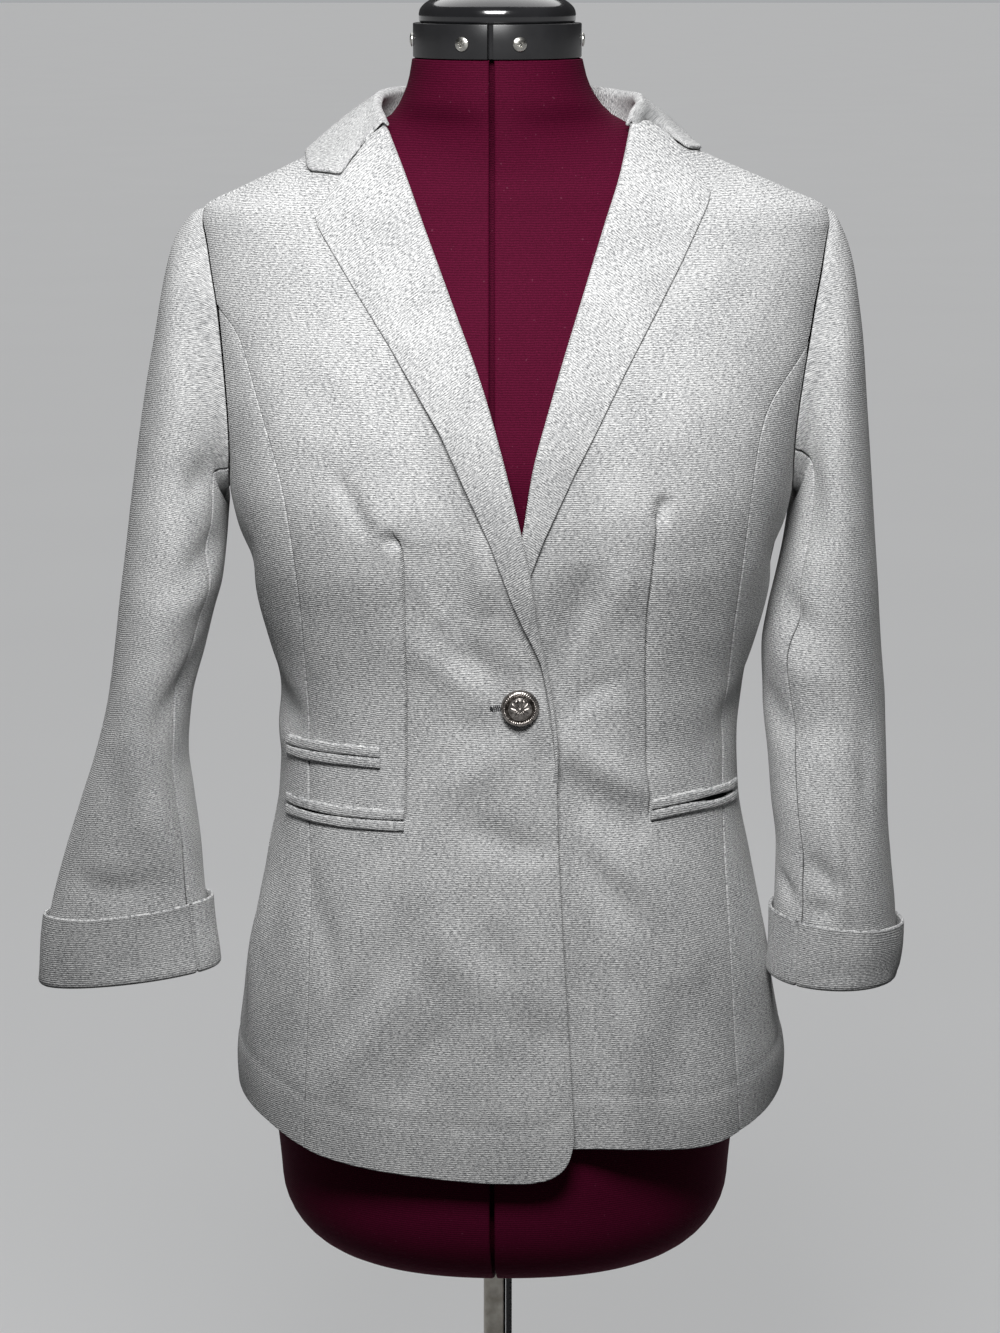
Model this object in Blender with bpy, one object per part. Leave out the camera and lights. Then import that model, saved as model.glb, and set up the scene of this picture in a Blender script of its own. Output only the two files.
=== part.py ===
"""Single breasted blazer, buttoned on a limbless dress form with a pole stand.
Metres. The front faces -Y, +X is the viewer's right, +Z is up, the floor is z = 0.
The wearer's right side is the viewer's left, so "right" pieces lie at -X."""

import math

import bpy
import numpy as np

# ---- driving sizes ----
CLOTH = 0.0020  # one wall of double knit with its facing
TRIM = 0.0016  # lapel and welt walls
SEAM = 0.00019  # each piece stops this far short of the seam, so seams are 0.36 mm wide
LAY = 0.0008  # what lies on a panel stands this far off it
SLEEVE_SEAM_GAP = 0.00026  # the same for the sleeves' long seams, which twist
ARM_GAP = 0.00045  # the sleeve head starts this far from the armhole seam
BUTTON_LIFT = 0.0010  # back of the button to the cloth
COLLAR_LIFT = 0.0004  # the collar stands off more than a lapel
UNDERLAP = 0.0052  # how far the lower front lies inside the upper one
HEM = 0.690  # nominal hem height
HEM_BLEND = 0.780  # above this height the rows are level
WAIST_BUTTON = (0.0142, 0.9824)  # x, z
NECK_EDGE = 1.335  # top row of the body panels
UNDERARM = 1.106
SHOULDER_TIP = 1.284
MIDDLE_X = 0.0020  # the tables' x = 0 lies this far from the pole
POLE_R = 0.0075
RACK = (0.0040, 0.0080)  # toothed strip beside the pole, x and y
BASE_R = 0.180
BASE_TOP = 0.016
HUB_TOP = 0.044
SCREW_LIFT = 0.0009
GROOVE = 0.0030
GROOVE_DEEP = 0.012
GROOVE_X = -0.0035
GROOVE_CLEAR = 14.0  # degrees each side of the front middle with no ring point but the groove's
FORM_ROUND = 0.050  # rounding of the torso's foot
FORM_ROWS = (0.68, 0.74, 0.80, 0.88, 0.96, 1.03, 1.08, 1.12, 1.17, 1.22, 1.255, 1.275, 1.286, 1.296,
             1.309, 1.322, 1.333, 1.342, 1.355, 1.3785)

# Sections of the jacket: height, middle x, half width, y of the side line, y of the front,
# y of the back, and how square the front and back halves are (2 is an ellipse).
BODY_COLUMNS = ("z", "x0", "half", "y_side", "y_front", "y_back", "sq_front", "sq_back")
BODY = np.array([
    (0.640, 0.0085, 0.1800, 0.004, -0.1300, 0.1230, 2.30, 2.20),
    (0.680, 0.0088, 0.1815, 0.004, -0.1270, 0.1240, 2.30, 2.20),
    (0.720, 0.0090, 0.1845, 0.004, -0.1235, 0.1235, 2.30, 2.20),
    (0.755, 0.0080, 0.1800, 0.004, -0.1200, 0.1205, 2.30, 2.20),
    (0.800, 0.0070, 0.1738, 0.004, -0.1160, 0.1130, 2.30, 2.20),
    (0.860, 0.0072, 0.1605, 0.004, -0.1100, 0.1000, 2.30, 2.20),
    (0.905, 0.0072, 0.1520, 0.004, -0.1060, 0.0915, 2.30, 2.20),
    (0.945, 0.0077, 0.1500, 0.004, -0.1045, 0.0870, 2.30, 2.20),
    (0.985, 0.0095, 0.1545, 0.004, -0.1070, 0.0885, 2.35, 2.20),
    (1.030, 0.0092, 0.1655, 0.004, -0.1155, 0.0950, 2.45, 2.20),
    (1.070, 0.0088, 0.1745, 0.004, -0.1250, 0.1020, 2.55, 2.25),
    (1.105, 0.0086, 0.1815, 0.004, -0.1285, 0.1080, 2.55, 2.30),
    (1.140, 0.0092, 0.1870, 0.005, -0.1250, 0.1120, 2.50, 2.35),
    (1.180, 0.0105, 0.1940, 0.006, -0.1140, 0.1135, 2.40, 2.40),
    (1.220, 0.0118, 0.2000, 0.008, -0.0980, 0.1110, 2.30, 2.40),
    (1.255, 0.0122, 0.2035, 0.010, -0.0820, 0.1040, 2.20, 2.35),
    (1.274, 0.0120, 0.2035, 0.011, -0.0710, 0.0980, 2.15, 2.30),
    (1.284, 0.0115, 0.2000, 0.012, -0.0650, 0.0940, 2.10, 2.25),
    (1.296, 0.0100, 0.1760, 0.013, -0.0580, 0.0885, 2.05, 2.20),
    (1.309, 0.0085, 0.1470, 0.014, -0.0490, 0.0825, 2.00, 2.15),
    (1.322, 0.0065, 0.1190, 0.015, -0.0400, 0.0765, 2.00, 2.10),
    (1.333, 0.0045, 0.0960, 0.016, -0.0310, 0.0715, 2.00, 2.05),
    (1.342, 0.0030, 0.0790, 0.017, -0.0230, 0.0680, 2.00, 2.00),
    (1.350, 0.0025, 0.0680, 0.017, -0.0180, 0.0660, 2.00, 2.00),
])

# Sections of the dress form, in the same columns.
FORM = np.array([
    (0.585, 0.0050, 0.1480, 0.004, -0.1130, 0.1080, 2.10, 2.10),
    (0.640, 0.0050, 0.1515, 0.004, -0.1130, 0.1100, 2.10, 2.10),
    (0.700, 0.0050, 0.1560, 0.004, -0.1110, 0.1110, 2.15, 2.20),
    (0.760, 0.0050, 0.1550, 0.004, -0.1070, 0.1090, 2.20, 2.20),
    (0.840, 0.0060, 0.1430, 0.004, -0.0990, 0.0940, 2.20, 2.20),
    (0.920, 0.0065, 0.1260, 0.004, -0.0900, 0.0780, 2.20, 2.20),
    (0.960, 0.0070, 0.1220, 0.004, -0.0880, 0.0740, 2.20, 2.20),
    (1.020, 0.0080, 0.1330, 0.004, -0.0950, 0.0800, 2.25, 2.20),
    (1.080, 0.0080, 0.1480, 0.004, -0.1090, 0.0930, 2.35, 2.20),
    (1.120, 0.0085, 0.1540, 0.004, -0.1110, 0.0980, 2.30, 2.25),
    (1.170, 0.0095, 0.1600, 0.006, -0.1000, 0.1010, 2.20, 2.30),
    (1.220, 0.0105, 0.1680, 0.008, -0.0830, 0.0990, 2.00, 2.30),
    (1.255, 0.0110, 0.1740, 0.010, -0.0680, 0.0940, 1.85, 2.25),
    (1.275, 0.0110, 0.1770, 0.011, -0.0600, 0.0890, 1.75, 2.20),
    (1.286, 0.0105, 0.1715, 0.012, -0.0555, 0.0855, 1.70, 2.15),
    (1.296, 0.0100, 0.1640, 0.013, -0.0530, 0.0815, 1.60, 2.10),
    (1.309, 0.0085, 0.1400, 0.014, -0.0480, 0.0750, 1.42, 2.05),
    (1.322, 0.0065, 0.1120, 0.015, -0.0470, 0.0690, 1.30, 2.00),
    (1.333, 0.0045, 0.0885, 0.015, -0.0465, 0.0640, 1.35, 2.00),
    (1.342, 0.0030, 0.0715, 0.014, -0.0460, 0.0620, 1.60, 2.00),
    (1.352, 0.0015, 0.0630, 0.013, -0.0465, 0.0620, 2.00, 2.00),
    (1.365, 0.0005, 0.0570, 0.010, -0.0460, 0.0620, 2.00, 2.00),
    (1.3785, 0.0000, 0.0540, 0.008, -0.0455, 0.0620, 2.00, 2.00),
])

# Seams on the front, height against x.
PRINCESS_RIGHT = np.array([(0.690, -0.1270), (0.800, -0.1225), (0.950, -0.1220), (1.030, -0.1245),
                           (1.108, -0.1325), (1.171, -0.1500), (1.209, -0.1640), (1.228, -0.1800)])
PRINCESS_LEFT = np.array([(0.690, 0.1590), (0.800, 0.1525), (0.922, 0.1465), (0.994, 0.1490),
                          (1.072, 0.1550), (1.139, 0.1625), (1.182, 0.1745), (1.212, 0.1900)])
# Seams on the back, height against the angle round the body from the front middle.
BACK_SEAM = np.array([(0.690, 136.0), (0.800, 138.0), (0.950, 141.0), (1.080, 137.0),
                      (1.160, 127.0), (1.226, 112.0)])
# The folded front edge and roll line of each front, height against x.
EDGE_RIGHT = np.array([(0.660, 0.0490), (0.700, 0.0490), (0.760, 0.0464), (0.838, 0.0417),
                       (0.921, 0.0383), (0.953, 0.0376), (0.990, 0.0336), (1.033, 0.0250),
                       (1.067, 0.0202), (1.114, 0.0097), (1.177, -0.0075), (1.235, -0.0291),
                       (1.281, -0.0471), (1.310, -0.0585), (1.336, -0.0700)])
EDGE_LEFT = np.array([(0.660, -0.0120), (1.045, -0.0110), (1.070, 0.0110), (1.092, 0.0158),
                      (1.133, 0.0222), (1.176, 0.0339), (1.232, 0.0515), (1.281, 0.0676),
                      (1.308, 0.0769), (1.336, 0.0840)])
# Hem heights against the angle from the front middle.
HEM_RIGHT = np.array([(-180.0, 0.693), (-130.0, 0.698), (-90.0, 0.704), (-62.0, 0.695),
                      (-40.0, 0.681), (-15.0, 0.675), (4.0, 0.671), (7.5, 0.672),
                      (10.0, 0.678), (12.0, 0.689), (12.8, 0.700)])
HEM_LEFT = np.array([(-15.0, 0.693), (15.0, 0.693), (42.0, 0.687), (62.0, 0.695),
                     (90.0, 0.707), (130.0, 0.700), (180.0, 0.693)])

# The armhole, in angle and height about its own middle.
ARMHOLE_Z = (UNDERARM + SHOULDER_TIP) / 2
ARMHOLE_RISE = (SHOULDER_TIP - UNDERARM) / 2
ARMHOLE_Y = 0.010
ARMHOLE_REACH = 0.052
ARMHOLE_FRONT = 21.0
ARMHOLE_BACK = 22.0
ARMHOLE_SQUARE = 2.3
MEET = 0.40  # degrees between a long seam and the armhole on their last shared row

# Rings of the sleeves: outer x and z, inner x and z, middle y, half depth.
# The first row follows the armhole seam, the last is the sleeve end inside the cuff.
SLEEVE_COLUMNS = ("x_out", "z_out", "x_in", "z_in", "y_mid", "depth")
SLEEVE_RIGHT = np.array([
    (-0.1885, 1.2845, -0.1733, 1.1053, 0.012, 0.0440),
    (-0.1970, 1.2800, -0.1738, 1.1022, 0.011, 0.0480),
    (-0.2080, 1.2640, -0.1742, 1.0990, 0.010, 0.0520),
    (-0.2145, 1.2400, -0.1745, 1.0950, 0.008, 0.0550),
    (-0.2205, 1.2080, -0.1749, 1.0895, 0.006, 0.0570),
    (-0.2270, 1.1720, -0.1754, 1.0825, 0.004, 0.0580),
    (-0.2325, 1.1350, -0.1760, 1.0730, 0.001, 0.0580),
    (-0.2375, 1.0980, -0.1770, 1.0620, -0.003, 0.0580),
    (-0.2415, 1.0650, -0.1795, 1.0450, -0.006, 0.0575),
    (-0.2455, 1.0350, -0.1855, 1.0250, -0.009, 0.0570),
    (-0.2495, 1.0030, -0.1920, 1.0000, -0.011, 0.0560),
    (-0.2550, 0.9660, -0.2010, 0.9660, -0.013, 0.0550),
    (-0.2635, 0.9320, -0.2035, 0.9340, -0.016, 0.0510),
    (-0.2740, 0.9000, -0.2000, 0.9060, -0.019, 0.0450),
    (-0.2850, 0.8660, -0.1955, 0.8740, -0.023, 0.0370),
    (-0.2940, 0.8330, -0.1930, 0.8450, -0.027, 0.0300),
    (-0.2985, 0.8090, -0.1905, 0.8220, -0.029, 0.0265),
    (-0.3010, 0.7795, -0.1862, 0.7930, -0.030, 0.0250),
])
SLEEVE_LEFT = np.array([
    (0.2115, 1.2845, 0.1905, 1.1053, 0.012, 0.0440),
    (0.2170, 1.2800, 0.1912, 1.1022, 0.011, 0.0480),
    (0.2240, 1.2640, 0.1913, 1.0990, 0.010, 0.0520),
    (0.2300, 1.2400, 0.1910, 1.0950, 0.008, 0.0550),
    (0.2345, 1.2080, 0.1902, 1.0895, 0.006, 0.0570),
    (0.2375, 1.1720, 0.1888, 1.0825, 0.004, 0.0580),
    (0.2405, 1.1350, 0.1870, 1.0730, 0.001, 0.0580),
    (0.2435, 1.0980, 0.1846, 1.0620, -0.003, 0.0580),
    (0.2460, 1.0650, 0.1806, 1.0450, -0.006, 0.0570),
    (0.2485, 1.0350, 0.1760, 1.0250, -0.009, 0.0560),
    (0.2512, 1.0030, 0.1725, 1.0000, -0.011, 0.0530),
    (0.2540, 0.9660, 0.1735, 0.9660, -0.016, 0.0490),
    (0.2545, 0.9320, 0.1765, 0.9340, -0.026, 0.0470),
    (0.2550, 0.9000, 0.1785, 0.9060, -0.034, 0.0455),
    (0.2575, 0.8680, 0.1820, 0.8740, -0.040, 0.0440),
    (0.2605, 0.8340, 0.1815, 0.8420, -0.044, 0.0425),
    (0.2612, 0.8130, 0.1808, 0.8250, -0.046, 0.0410),
    (0.2590, 0.7870, 0.1796, 0.7970, -0.047, 0.0400),
])
SLEEVE_SEAM = {"right": 1.122, "left": 1.135}  # armhole height where the front seam starts
SLEEVE_BACK_SEAM = 1.135
CUFF_RINGS = (15.35, 16.0, 17.0)  # places along the sleeve table that the turned cuff covers

# Lapels: corners in x and z, lifted on to the front. The roll line comes from the edge table.
LAPEL_TOP_RIGHT = ((-0.0700, 1.3347), (-0.0798, 1.3282), (-0.0975, 1.3060), (-0.1135, 1.2830))
LAPEL_OUT_RIGHT = ((-0.1135, 1.2830), (-0.1118, 1.2770), (-0.0977, 1.2550), (-0.0660, 1.2070),
                   (-0.0350, 1.1580), (0.0010, 1.0900), (0.0119, 1.0480), (0.0185, 1.0250),
                   (0.0235, 1.0120))
LAPEL_TOP_LEFT = ((0.0845, 1.3350), (0.0975, 1.3290), (0.1148, 1.3203), (0.1335, 1.2975))
LAPEL_OUT_LEFT = ((0.1335, 1.2975), (0.1320, 1.2910), (0.1134, 1.2550), (0.0785, 1.1920),
                  (0.0476, 1.1320), (0.0293, 1.0915), (0.0215, 1.0700), (0.0205, 1.0660))
LAPEL_FOOT = {"right": 1.012, "left": 1.066}

# Collar, from the back middle to the gorge on each side: the angle of its foot on the neck edge,
# the ridge of the fold, and the angle and height of the outer edge on the body.
COLLAR_COLUMNS = ("foot_angle", "ridge_x", "ridge_y", "ridge_z", "edge_angle", "edge_z")
COLLAR_RIGHT = np.array([
    (180.0, 0.0045, 0.0790, 1.3640, 180.0, 1.3050),
    (160.0, -0.0280, 0.0755, 1.3635, 158.0, 1.3060),
    (140.0, -0.0530, 0.0620, 1.3620, 136.0, 1.3085),
    (120.0, -0.0700, 0.0430, 1.3600, 114.0, 1.3135),
    (100.0, -0.0775, 0.0230, 1.3570, 96.0, 1.3175),
    (84.0, -0.0775, 0.0080, 1.3515, 81.0, 1.3165),
    (70.0, -0.0750, -0.0060, 1.3450, 66.0, 1.3110),
    (58.0, -0.0720, -0.0150, 1.3395, 54.0, 1.3062),
])
COLLAR_LEFT = np.array([
    (180.0, 0.0045, 0.0790, 1.3640, 180.0, 1.3050),
    (160.0, 0.0370, 0.0755, 1.3635, 158.0, 1.3060),
    (140.0, 0.0640, 0.0620, 1.3612, 138.0, 1.3085),
    (121.0, 0.0815, 0.0440, 1.3590, 120.0, 1.3130),
    (104.0, 0.0900, 0.0260, 1.3555, 107.0, 1.3175),
    (91.0, 0.0915, 0.0120, 1.3500, 98.0, 1.3205),
    (79.0, 0.0900, 0.0010, 1.3445, 87.0, 1.3205),
    (68.0, 0.0868, -0.0080, 1.3398, 78.0, 1.3195),
])
# The collar's end, from the ridge along the gorge to the notch and the tip, in x and z.
COLLAR_END_RIGHT = ((-0.0720, 1.3375), (-0.0800, 1.3303), (-0.0975, 1.3081), (-0.1171, 1.3062))
COLLAR_END_LEFT = ((0.0868, 1.3370), (0.0980, 1.3305), (0.1150, 1.3215), (0.1275, 1.3195))

# Pocket welts: x of the ends, then the heights of the slit at the ends and middle.
WELT = 0.0062
WELT_LAY = 0.0011
SLIT = 0.0012
POCKETS = {
    "ticket": (-0.1350, -0.0740, 0.9415, 0.9445, 0.9455),
    "pocket_right": (-0.1365, -0.0590, 0.9030, 0.9045, 0.9062),
    "pocket_left": (0.0980, 0.1560, 0.9105, 0.9120, 0.9085),
}

CLOTH_GREY = (0.42, 0.44, 0.47, 1)
FORM_MAROON = (0.16, 0.006, 0.03, 1)
GLOSS_BLACK = (0.012, 0.012, 0.013, 1)
STEEL = (0.55, 0.54, 0.50, 1)
GUNMETAL = (0.12, 0.12, 0.13, 1)


# ---- curves and surfaces ----
def curve(table, column, at):
    """A smooth curve through the table's column, with no overshoot."""
    knots = table[:, 0]
    values = table[:, column]
    at = np.clip(np.asarray(at, float), knots[0], knots[-1])
    step = np.diff(knots)
    rise = np.diff(values) / step
    slope = np.zeros(len(knots))
    near = 2 * step[1:] + step[:-1]
    far = step[1:] + 2 * step[:-1]
    same = rise[1:] * rise[:-1] > 0
    safe_left = np.where(same, rise[:-1], 1.0)
    safe_right = np.where(same, rise[1:], 1.0)
    slope[1:-1] = np.where(same, (near + far) / (near / safe_left + far / safe_right), 0.0)
    slope[0] = rise[0]
    slope[-1] = rise[-1]
    i = np.clip(np.searchsorted(knots, at, side="right") - 1, 0, len(knots) - 2)
    s = (at - knots[i]) / step[i]
    return ((1 + 2 * s) * (1 - s) ** 2 * values[i] + s * (1 - s) ** 2 * step[i] * slope[i]
            + s * s * (3 - 2 * s) * values[i + 1] + s * s * (s - 1) * step[i] * slope[i + 1])


def section(table, angle, z):
    """A point at this angle from the front middle, on the section at this height."""
    angle = np.radians(np.asarray(angle, float))
    z = np.asarray(z, float) + 0 * angle
    angle = angle + 0 * z
    x0, half, y_side, y_front, y_back, sq_front, sq_back = (
        curve(table, k, z) for k in range(1, len(BODY_COLUMNS)))
    across = np.sin(angle)
    along = np.cos(angle)
    power = 2 / np.where(along >= 0, sq_front, sq_back)
    depth = np.where(along >= 0, y_side - y_front, y_back - y_side)
    x = x0 + half * np.sign(across) * np.abs(across) ** power
    y = y_side - np.sign(along) * depth * np.abs(along) ** power
    return np.stack([x, y, z], -1)


def facing(table, angle, z):
    """The outward direction of the surface there."""
    turn = 0.4
    rise = 0.0015
    side = section(table, angle + turn, z) - section(table, angle - turn, z)
    up = section(table, angle, z + rise) - section(table, angle, z - rise)
    out = np.cross(side, up)
    return out / np.linalg.norm(out, axis=-1, keepdims=True)


def body(angle, z, out=0.0):
    angle = np.asarray(angle, float) + 0 * np.asarray(z, float)
    z = np.asarray(z, float) + 0 * angle
    out = np.asarray(out, float) + 0 * angle
    return section(BODY, angle, z) + facing(BODY, angle, z) * out[..., None]


def angle_at(x, z):
    """The angle, on the front half, of the point at this x and height."""
    x0, half, square = (
        curve(BODY, BODY_COLUMNS.index(name), z) for name in ("x0", "half", "sq_front"))
    share = np.clip(np.abs(x - x0) / half, 0, 1)
    return np.degrees(np.arcsin(share ** (square / 2))) * np.sign(x - x0)


def smooth(value, low, high):
    s = np.clip((value - low) / (high - low), 0, 1)
    return s * s * (3 - 2 * s)


def underlap(x, z):
    """How far inside the jacket's surface the lower front lies here."""
    return -UNDERLAP * (1 - smooth(x, 0.052, 0.085)) * (1 - smooth(z, 1.105, 1.165))


def along_path(points, count, power=1.0):
    """Points spaced along a path with corners, closer at its start for a power over 1."""
    points = np.array(points, float)
    reach = np.concatenate([[0], np.cumsum(np.linalg.norm(np.diff(points, axis=0), axis=1))])
    at = reach[-1] * np.linspace(0, 1, count) ** power
    return np.stack([np.interp(at, reach, points[:, k]) for k in range(points.shape[1])], -1)


def armhole(around, side):
    """The armhole seam: 0 is the shoulder tip, 90 the front, 180 the underarm, 270 the back."""
    around = np.radians(np.asarray(around, float))
    power = 2 / ARMHOLE_SQUARE
    across = np.sign(np.sin(around)) * np.abs(np.sin(around)) ** power
    reach = np.where(across >= 0, ARMHOLE_FRONT, ARMHOLE_BACK)
    angle = 90 - reach * across
    z = ARMHOLE_Z + ARMHOLE_RISE * np.sign(np.cos(around)) * np.abs(np.cos(around)) ** power
    return section(BODY, side * angle, z)


def armhole_angle(z, reach):
    share = np.clip(np.abs(z - ARMHOLE_Z) / ARMHOLE_RISE, 0, 1)
    return reach * (1 - share ** ARMHOLE_SQUARE) ** (1 / ARMHOLE_SQUARE)


# ---- meshes ----
MATERIALS = {}


def material(name, colour, roughness, metallic=0.0):
    if name not in MATERIALS:
        made = bpy.data.materials.new(name)
        made.use_nodes = True
        shader = made.node_tree.nodes["Principled BSDF"]
        shader.inputs["Base Color"].default_value = colour
        shader.inputs["Roughness"].default_value = roughness
        shader.inputs["Metallic"].default_value = metallic
        MATERIALS[name] = made
    return MATERIALS[name]


def solid(name, points, faces, made_of, sharp_over=40.0):
    mesh = bpy.data.meshes.new(name)
    mesh.from_pydata([(x + MIDDLE_X, y, z) for x, y, z in np.asarray(points)], [], faces)
    mesh.validate()
    mesh.shade_smooth()
    mesh.set_sharp_from_angle(angle=math.radians(sharp_over))
    mesh.materials.append(made_of)
    made = bpy.data.objects.new(name, mesh)
    bpy.context.scene.collection.objects.link(made)
    return made


def wall(name, outer, inner, made_of, closed=False):
    """A sheet of cloth between two grids of points. A closed one runs right round."""
    rows, columns = outer.shape[:2]
    points = np.concatenate([outer.reshape(-1, 3), inner.reshape(-1, 3)])
    other = rows * columns
    faces = []

    def at(i, j, layer):
        return layer * other + i * columns + j % columns

    spans = columns if closed else columns - 1
    for i in range(rows - 1):
        for j in range(spans):
            faces.append((at(i, j, 0), at(i, j + 1, 0), at(i + 1, j + 1, 0), at(i + 1, j, 0)))
            faces.append((at(i, j, 1), at(i + 1, j, 1), at(i + 1, j + 1, 1), at(i, j + 1, 1)))
    for j in range(spans):
        faces.append((at(0, j, 0), at(0, j, 1), at(0, j + 1, 1), at(0, j + 1, 0)))
        last = rows - 1
        faces.append((at(last, j, 0), at(last, j + 1, 0), at(last, j + 1, 1), at(last, j, 1)))
    if not closed:
        for i in range(rows - 1):
            faces.append((at(i, 0, 0), at(i + 1, 0, 0), at(i + 1, 0, 1), at(i, 0, 1)))
            last = columns - 1
            faces.append((at(i, last, 0), at(i, last, 1), at(i + 1, last, 1), at(i + 1, last, 0)))
    return solid(name, points, outward(points, faces), made_of)


def outward(points, faces):
    """The faces, all turned round where the body they close is inside out."""
    volume = 0.0
    for face in faces:
        a = points[face[0]]
        for k in range(1, len(face) - 1):
            volume += np.dot(a, np.cross(points[face[k]], points[face[k + 1]]))
    return faces if volume > 0 else [tuple(reversed(face)) for face in faces]


def lathe(name, profile, sides, made_of, place=(0, 0, 0), aim=(0, 0, 1), turn=(0.0, 360.0)):
    """A turned piece from (radius, height) pairs, closed on its axis, or a sector of a ring."""
    whole = turn[1] - turn[0] >= 360
    count = sides if whole else sides + 1
    angles = np.radians(np.linspace(turn[0], turn[1], count, endpoint=not whole))
    points = []
    index = []
    for radius, height in profile:
        if radius == 0:
            index.append([len(points)] * count)
            points.append((0, 0, height))
        else:
            index.append(list(range(len(points), len(points) + count)))
            points += [(radius * math.cos(a), radius * math.sin(a), height) for a in angles]
    rings = len(profile)
    faces = []
    links = rings if not whole else rings - 1
    for i in range(links):
        lower, upper = index[i], index[(i + 1) % rings]
        for j in range(count if whole else count - 1):
            k = (j + 1) % count
            face = [lower[j], lower[k], upper[k], upper[j]]
            faces.append(tuple(dict.fromkeys(face)))
    if not whole:
        faces.append(tuple(ring[0] for ring in index))
        faces.append(tuple(ring[-1] for ring in reversed(index)))
    faces = [face for face in faces if len(face) > 2]
    points = np.array(points)
    aim = np.array(aim, float) / np.linalg.norm(aim)
    if aim[2] < 0.999:
        side = np.cross((0, 0, 1), aim)
        side /= np.linalg.norm(side)
        points = points @ np.array([side, np.cross(aim, side), aim])
    points = points + np.array(place)
    return solid(name, points, outward(points, faces), made_of)


# ---- jacket body ----
# Rows of the body panels. All panels share them, so that they meet point to point at seams.
LOW_ROWS = (0.690, 0.700, 0.735, 0.775, 0.815, 0.850, 0.885, 0.915, 0.945, 0.975, 1.005, 1.035,
            1.062, 1.086)
ARM_ROWS = (1.106, 1.109, 1.114, 1.122, 1.135, 1.155, 1.180, 1.205, 1.226, 1.248, 1.266, 1.278,
            1.284)
TOP_ROWS = (1.293, 1.303, 1.313, 1.323, NECK_EDGE)


def level(z, angle, hems):
    """The real height of a row, which follows the hem near the foot."""
    hem = curve(hems, 1, angle)
    return np.where(z < HEM_BLEND, HEM_BLEND - (HEM_BLEND - z) * (HEM_BLEND - hem)
                    / (HEM_BLEND - HEM), z)


def panel(name, rows, start, stop, columns, hems, out=None):
    """A body panel between two seams, each a function of height that gives an angle."""
    share = np.asarray(columns, float)
    nominal = np.array(rows)[:, None] + 0 * share[None, :]
    first = np.array([start(z) for z in rows])
    last = np.array([stop(z) for z in rows])
    # Trim each end so that neighbours stay apart.
    width = np.linalg.norm(section(BODY, first + 0.5, np.array(rows))
                           - section(BODY, first - 0.5, np.array(rows)), axis=-1)
    first = first + SEAM / width * np.sign(last - first)
    width = np.linalg.norm(section(BODY, last + 0.5, np.array(rows))
                           - section(BODY, last - 0.5, np.array(rows)), axis=-1)
    last = last - SEAM / width * np.sign(last - first)
    angle = first[:, None] + (last - first)[:, None] * share[None, :]
    z = level(nominal, angle, hems)
    shift = 0 * z if out is None else out(section(BODY, angle, z)[..., 0], z)
    wall(name, body(angle, z, shift), body(angle, z, shift - CLOTH), material("cloth_" + name, CLOTH_GREY, 0.9))


def even(count):
    return np.linspace(0, 1, count + 1)


def build_body():
    for side, word, princess, edge, hems, top in (
            (-1, "right", PRINCESS_RIGHT, EDGE_RIGHT, HEM_RIGHT, 1.226),
            (1, "left", PRINCESS_LEFT, EDGE_LEFT, HEM_LEFT, 1.205)):

        def seam(z, princess=princess, side=side, top=top):
            """The princess seam. Its last row stops just short of the armhole."""
            if z >= top:
                return side * (90 - float(armhole_angle(z, ARMHOLE_FRONT)) - MEET)
            return float(angle_at(curve(princess, 1, z), z))

        def front_out(z, side=side, top=top, seam=seam):
            """The front's outer boundary: princess seam, armhole, then shoulder seam."""
            if z <= top:
                return seam(z)
            return side * (90 - float(armhole_angle(z, ARMHOLE_FRONT)) if z < SHOULDER_TIP else 90)

        def front_in(z, edge=edge):
            return float(angle_at(curve(edge, 1, z), z))

        def side_out(z, side=side):
            return side * (90 - float(armhole_angle(z, ARMHOLE_FRONT)) if z > UNDERARM else 90)

        def back_side_out(z, side=side):
            return side * (90 + float(armhole_angle(z, ARMHOLE_BACK)) if z > UNDERARM else 90)

        def back_seam(z, side=side):
            if z >= BACK_SEAM[-1, 0]:
                return side * (90 + float(armhole_angle(z, ARMHOLE_BACK)) + MEET)
            return side * float(curve(BACK_SEAM, 1, z))

        def back_out(z, side=side, back_seam=back_seam):
            if z <= BACK_SEAM[-1, 0]:
                return back_seam(z)
            return side * (90 + float(armhole_angle(z, ARMHOLE_BACK)) if z < SHOULDER_TIP else 90)

        near_edge = (0, 0.015, 0.04, 0.08, 0.17, 0.30, 0.44, 0.58, 0.72, 0.86, 1)
        columns = near_edge if side < 0 else even(8)
        out = None if side < 0 else underlap
        rows = LOW_ROWS + ARM_ROWS
        panel("front_" + word, rows + TOP_ROWS, front_in, front_out, columns, hems, out)
        panel("side_front_" + word, [z for z in rows if z <= top], seam, side_out, even(4), hems)
        panel("side_back_" + word, [z for z in rows if z <= BACK_SEAM[-1, 0]], back_side_out,
              back_seam, even(4), hems)
        panel("back_" + word, rows + TOP_ROWS, back_out, lambda z, side=side: side * 180.0,
              even(6), hems)


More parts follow.
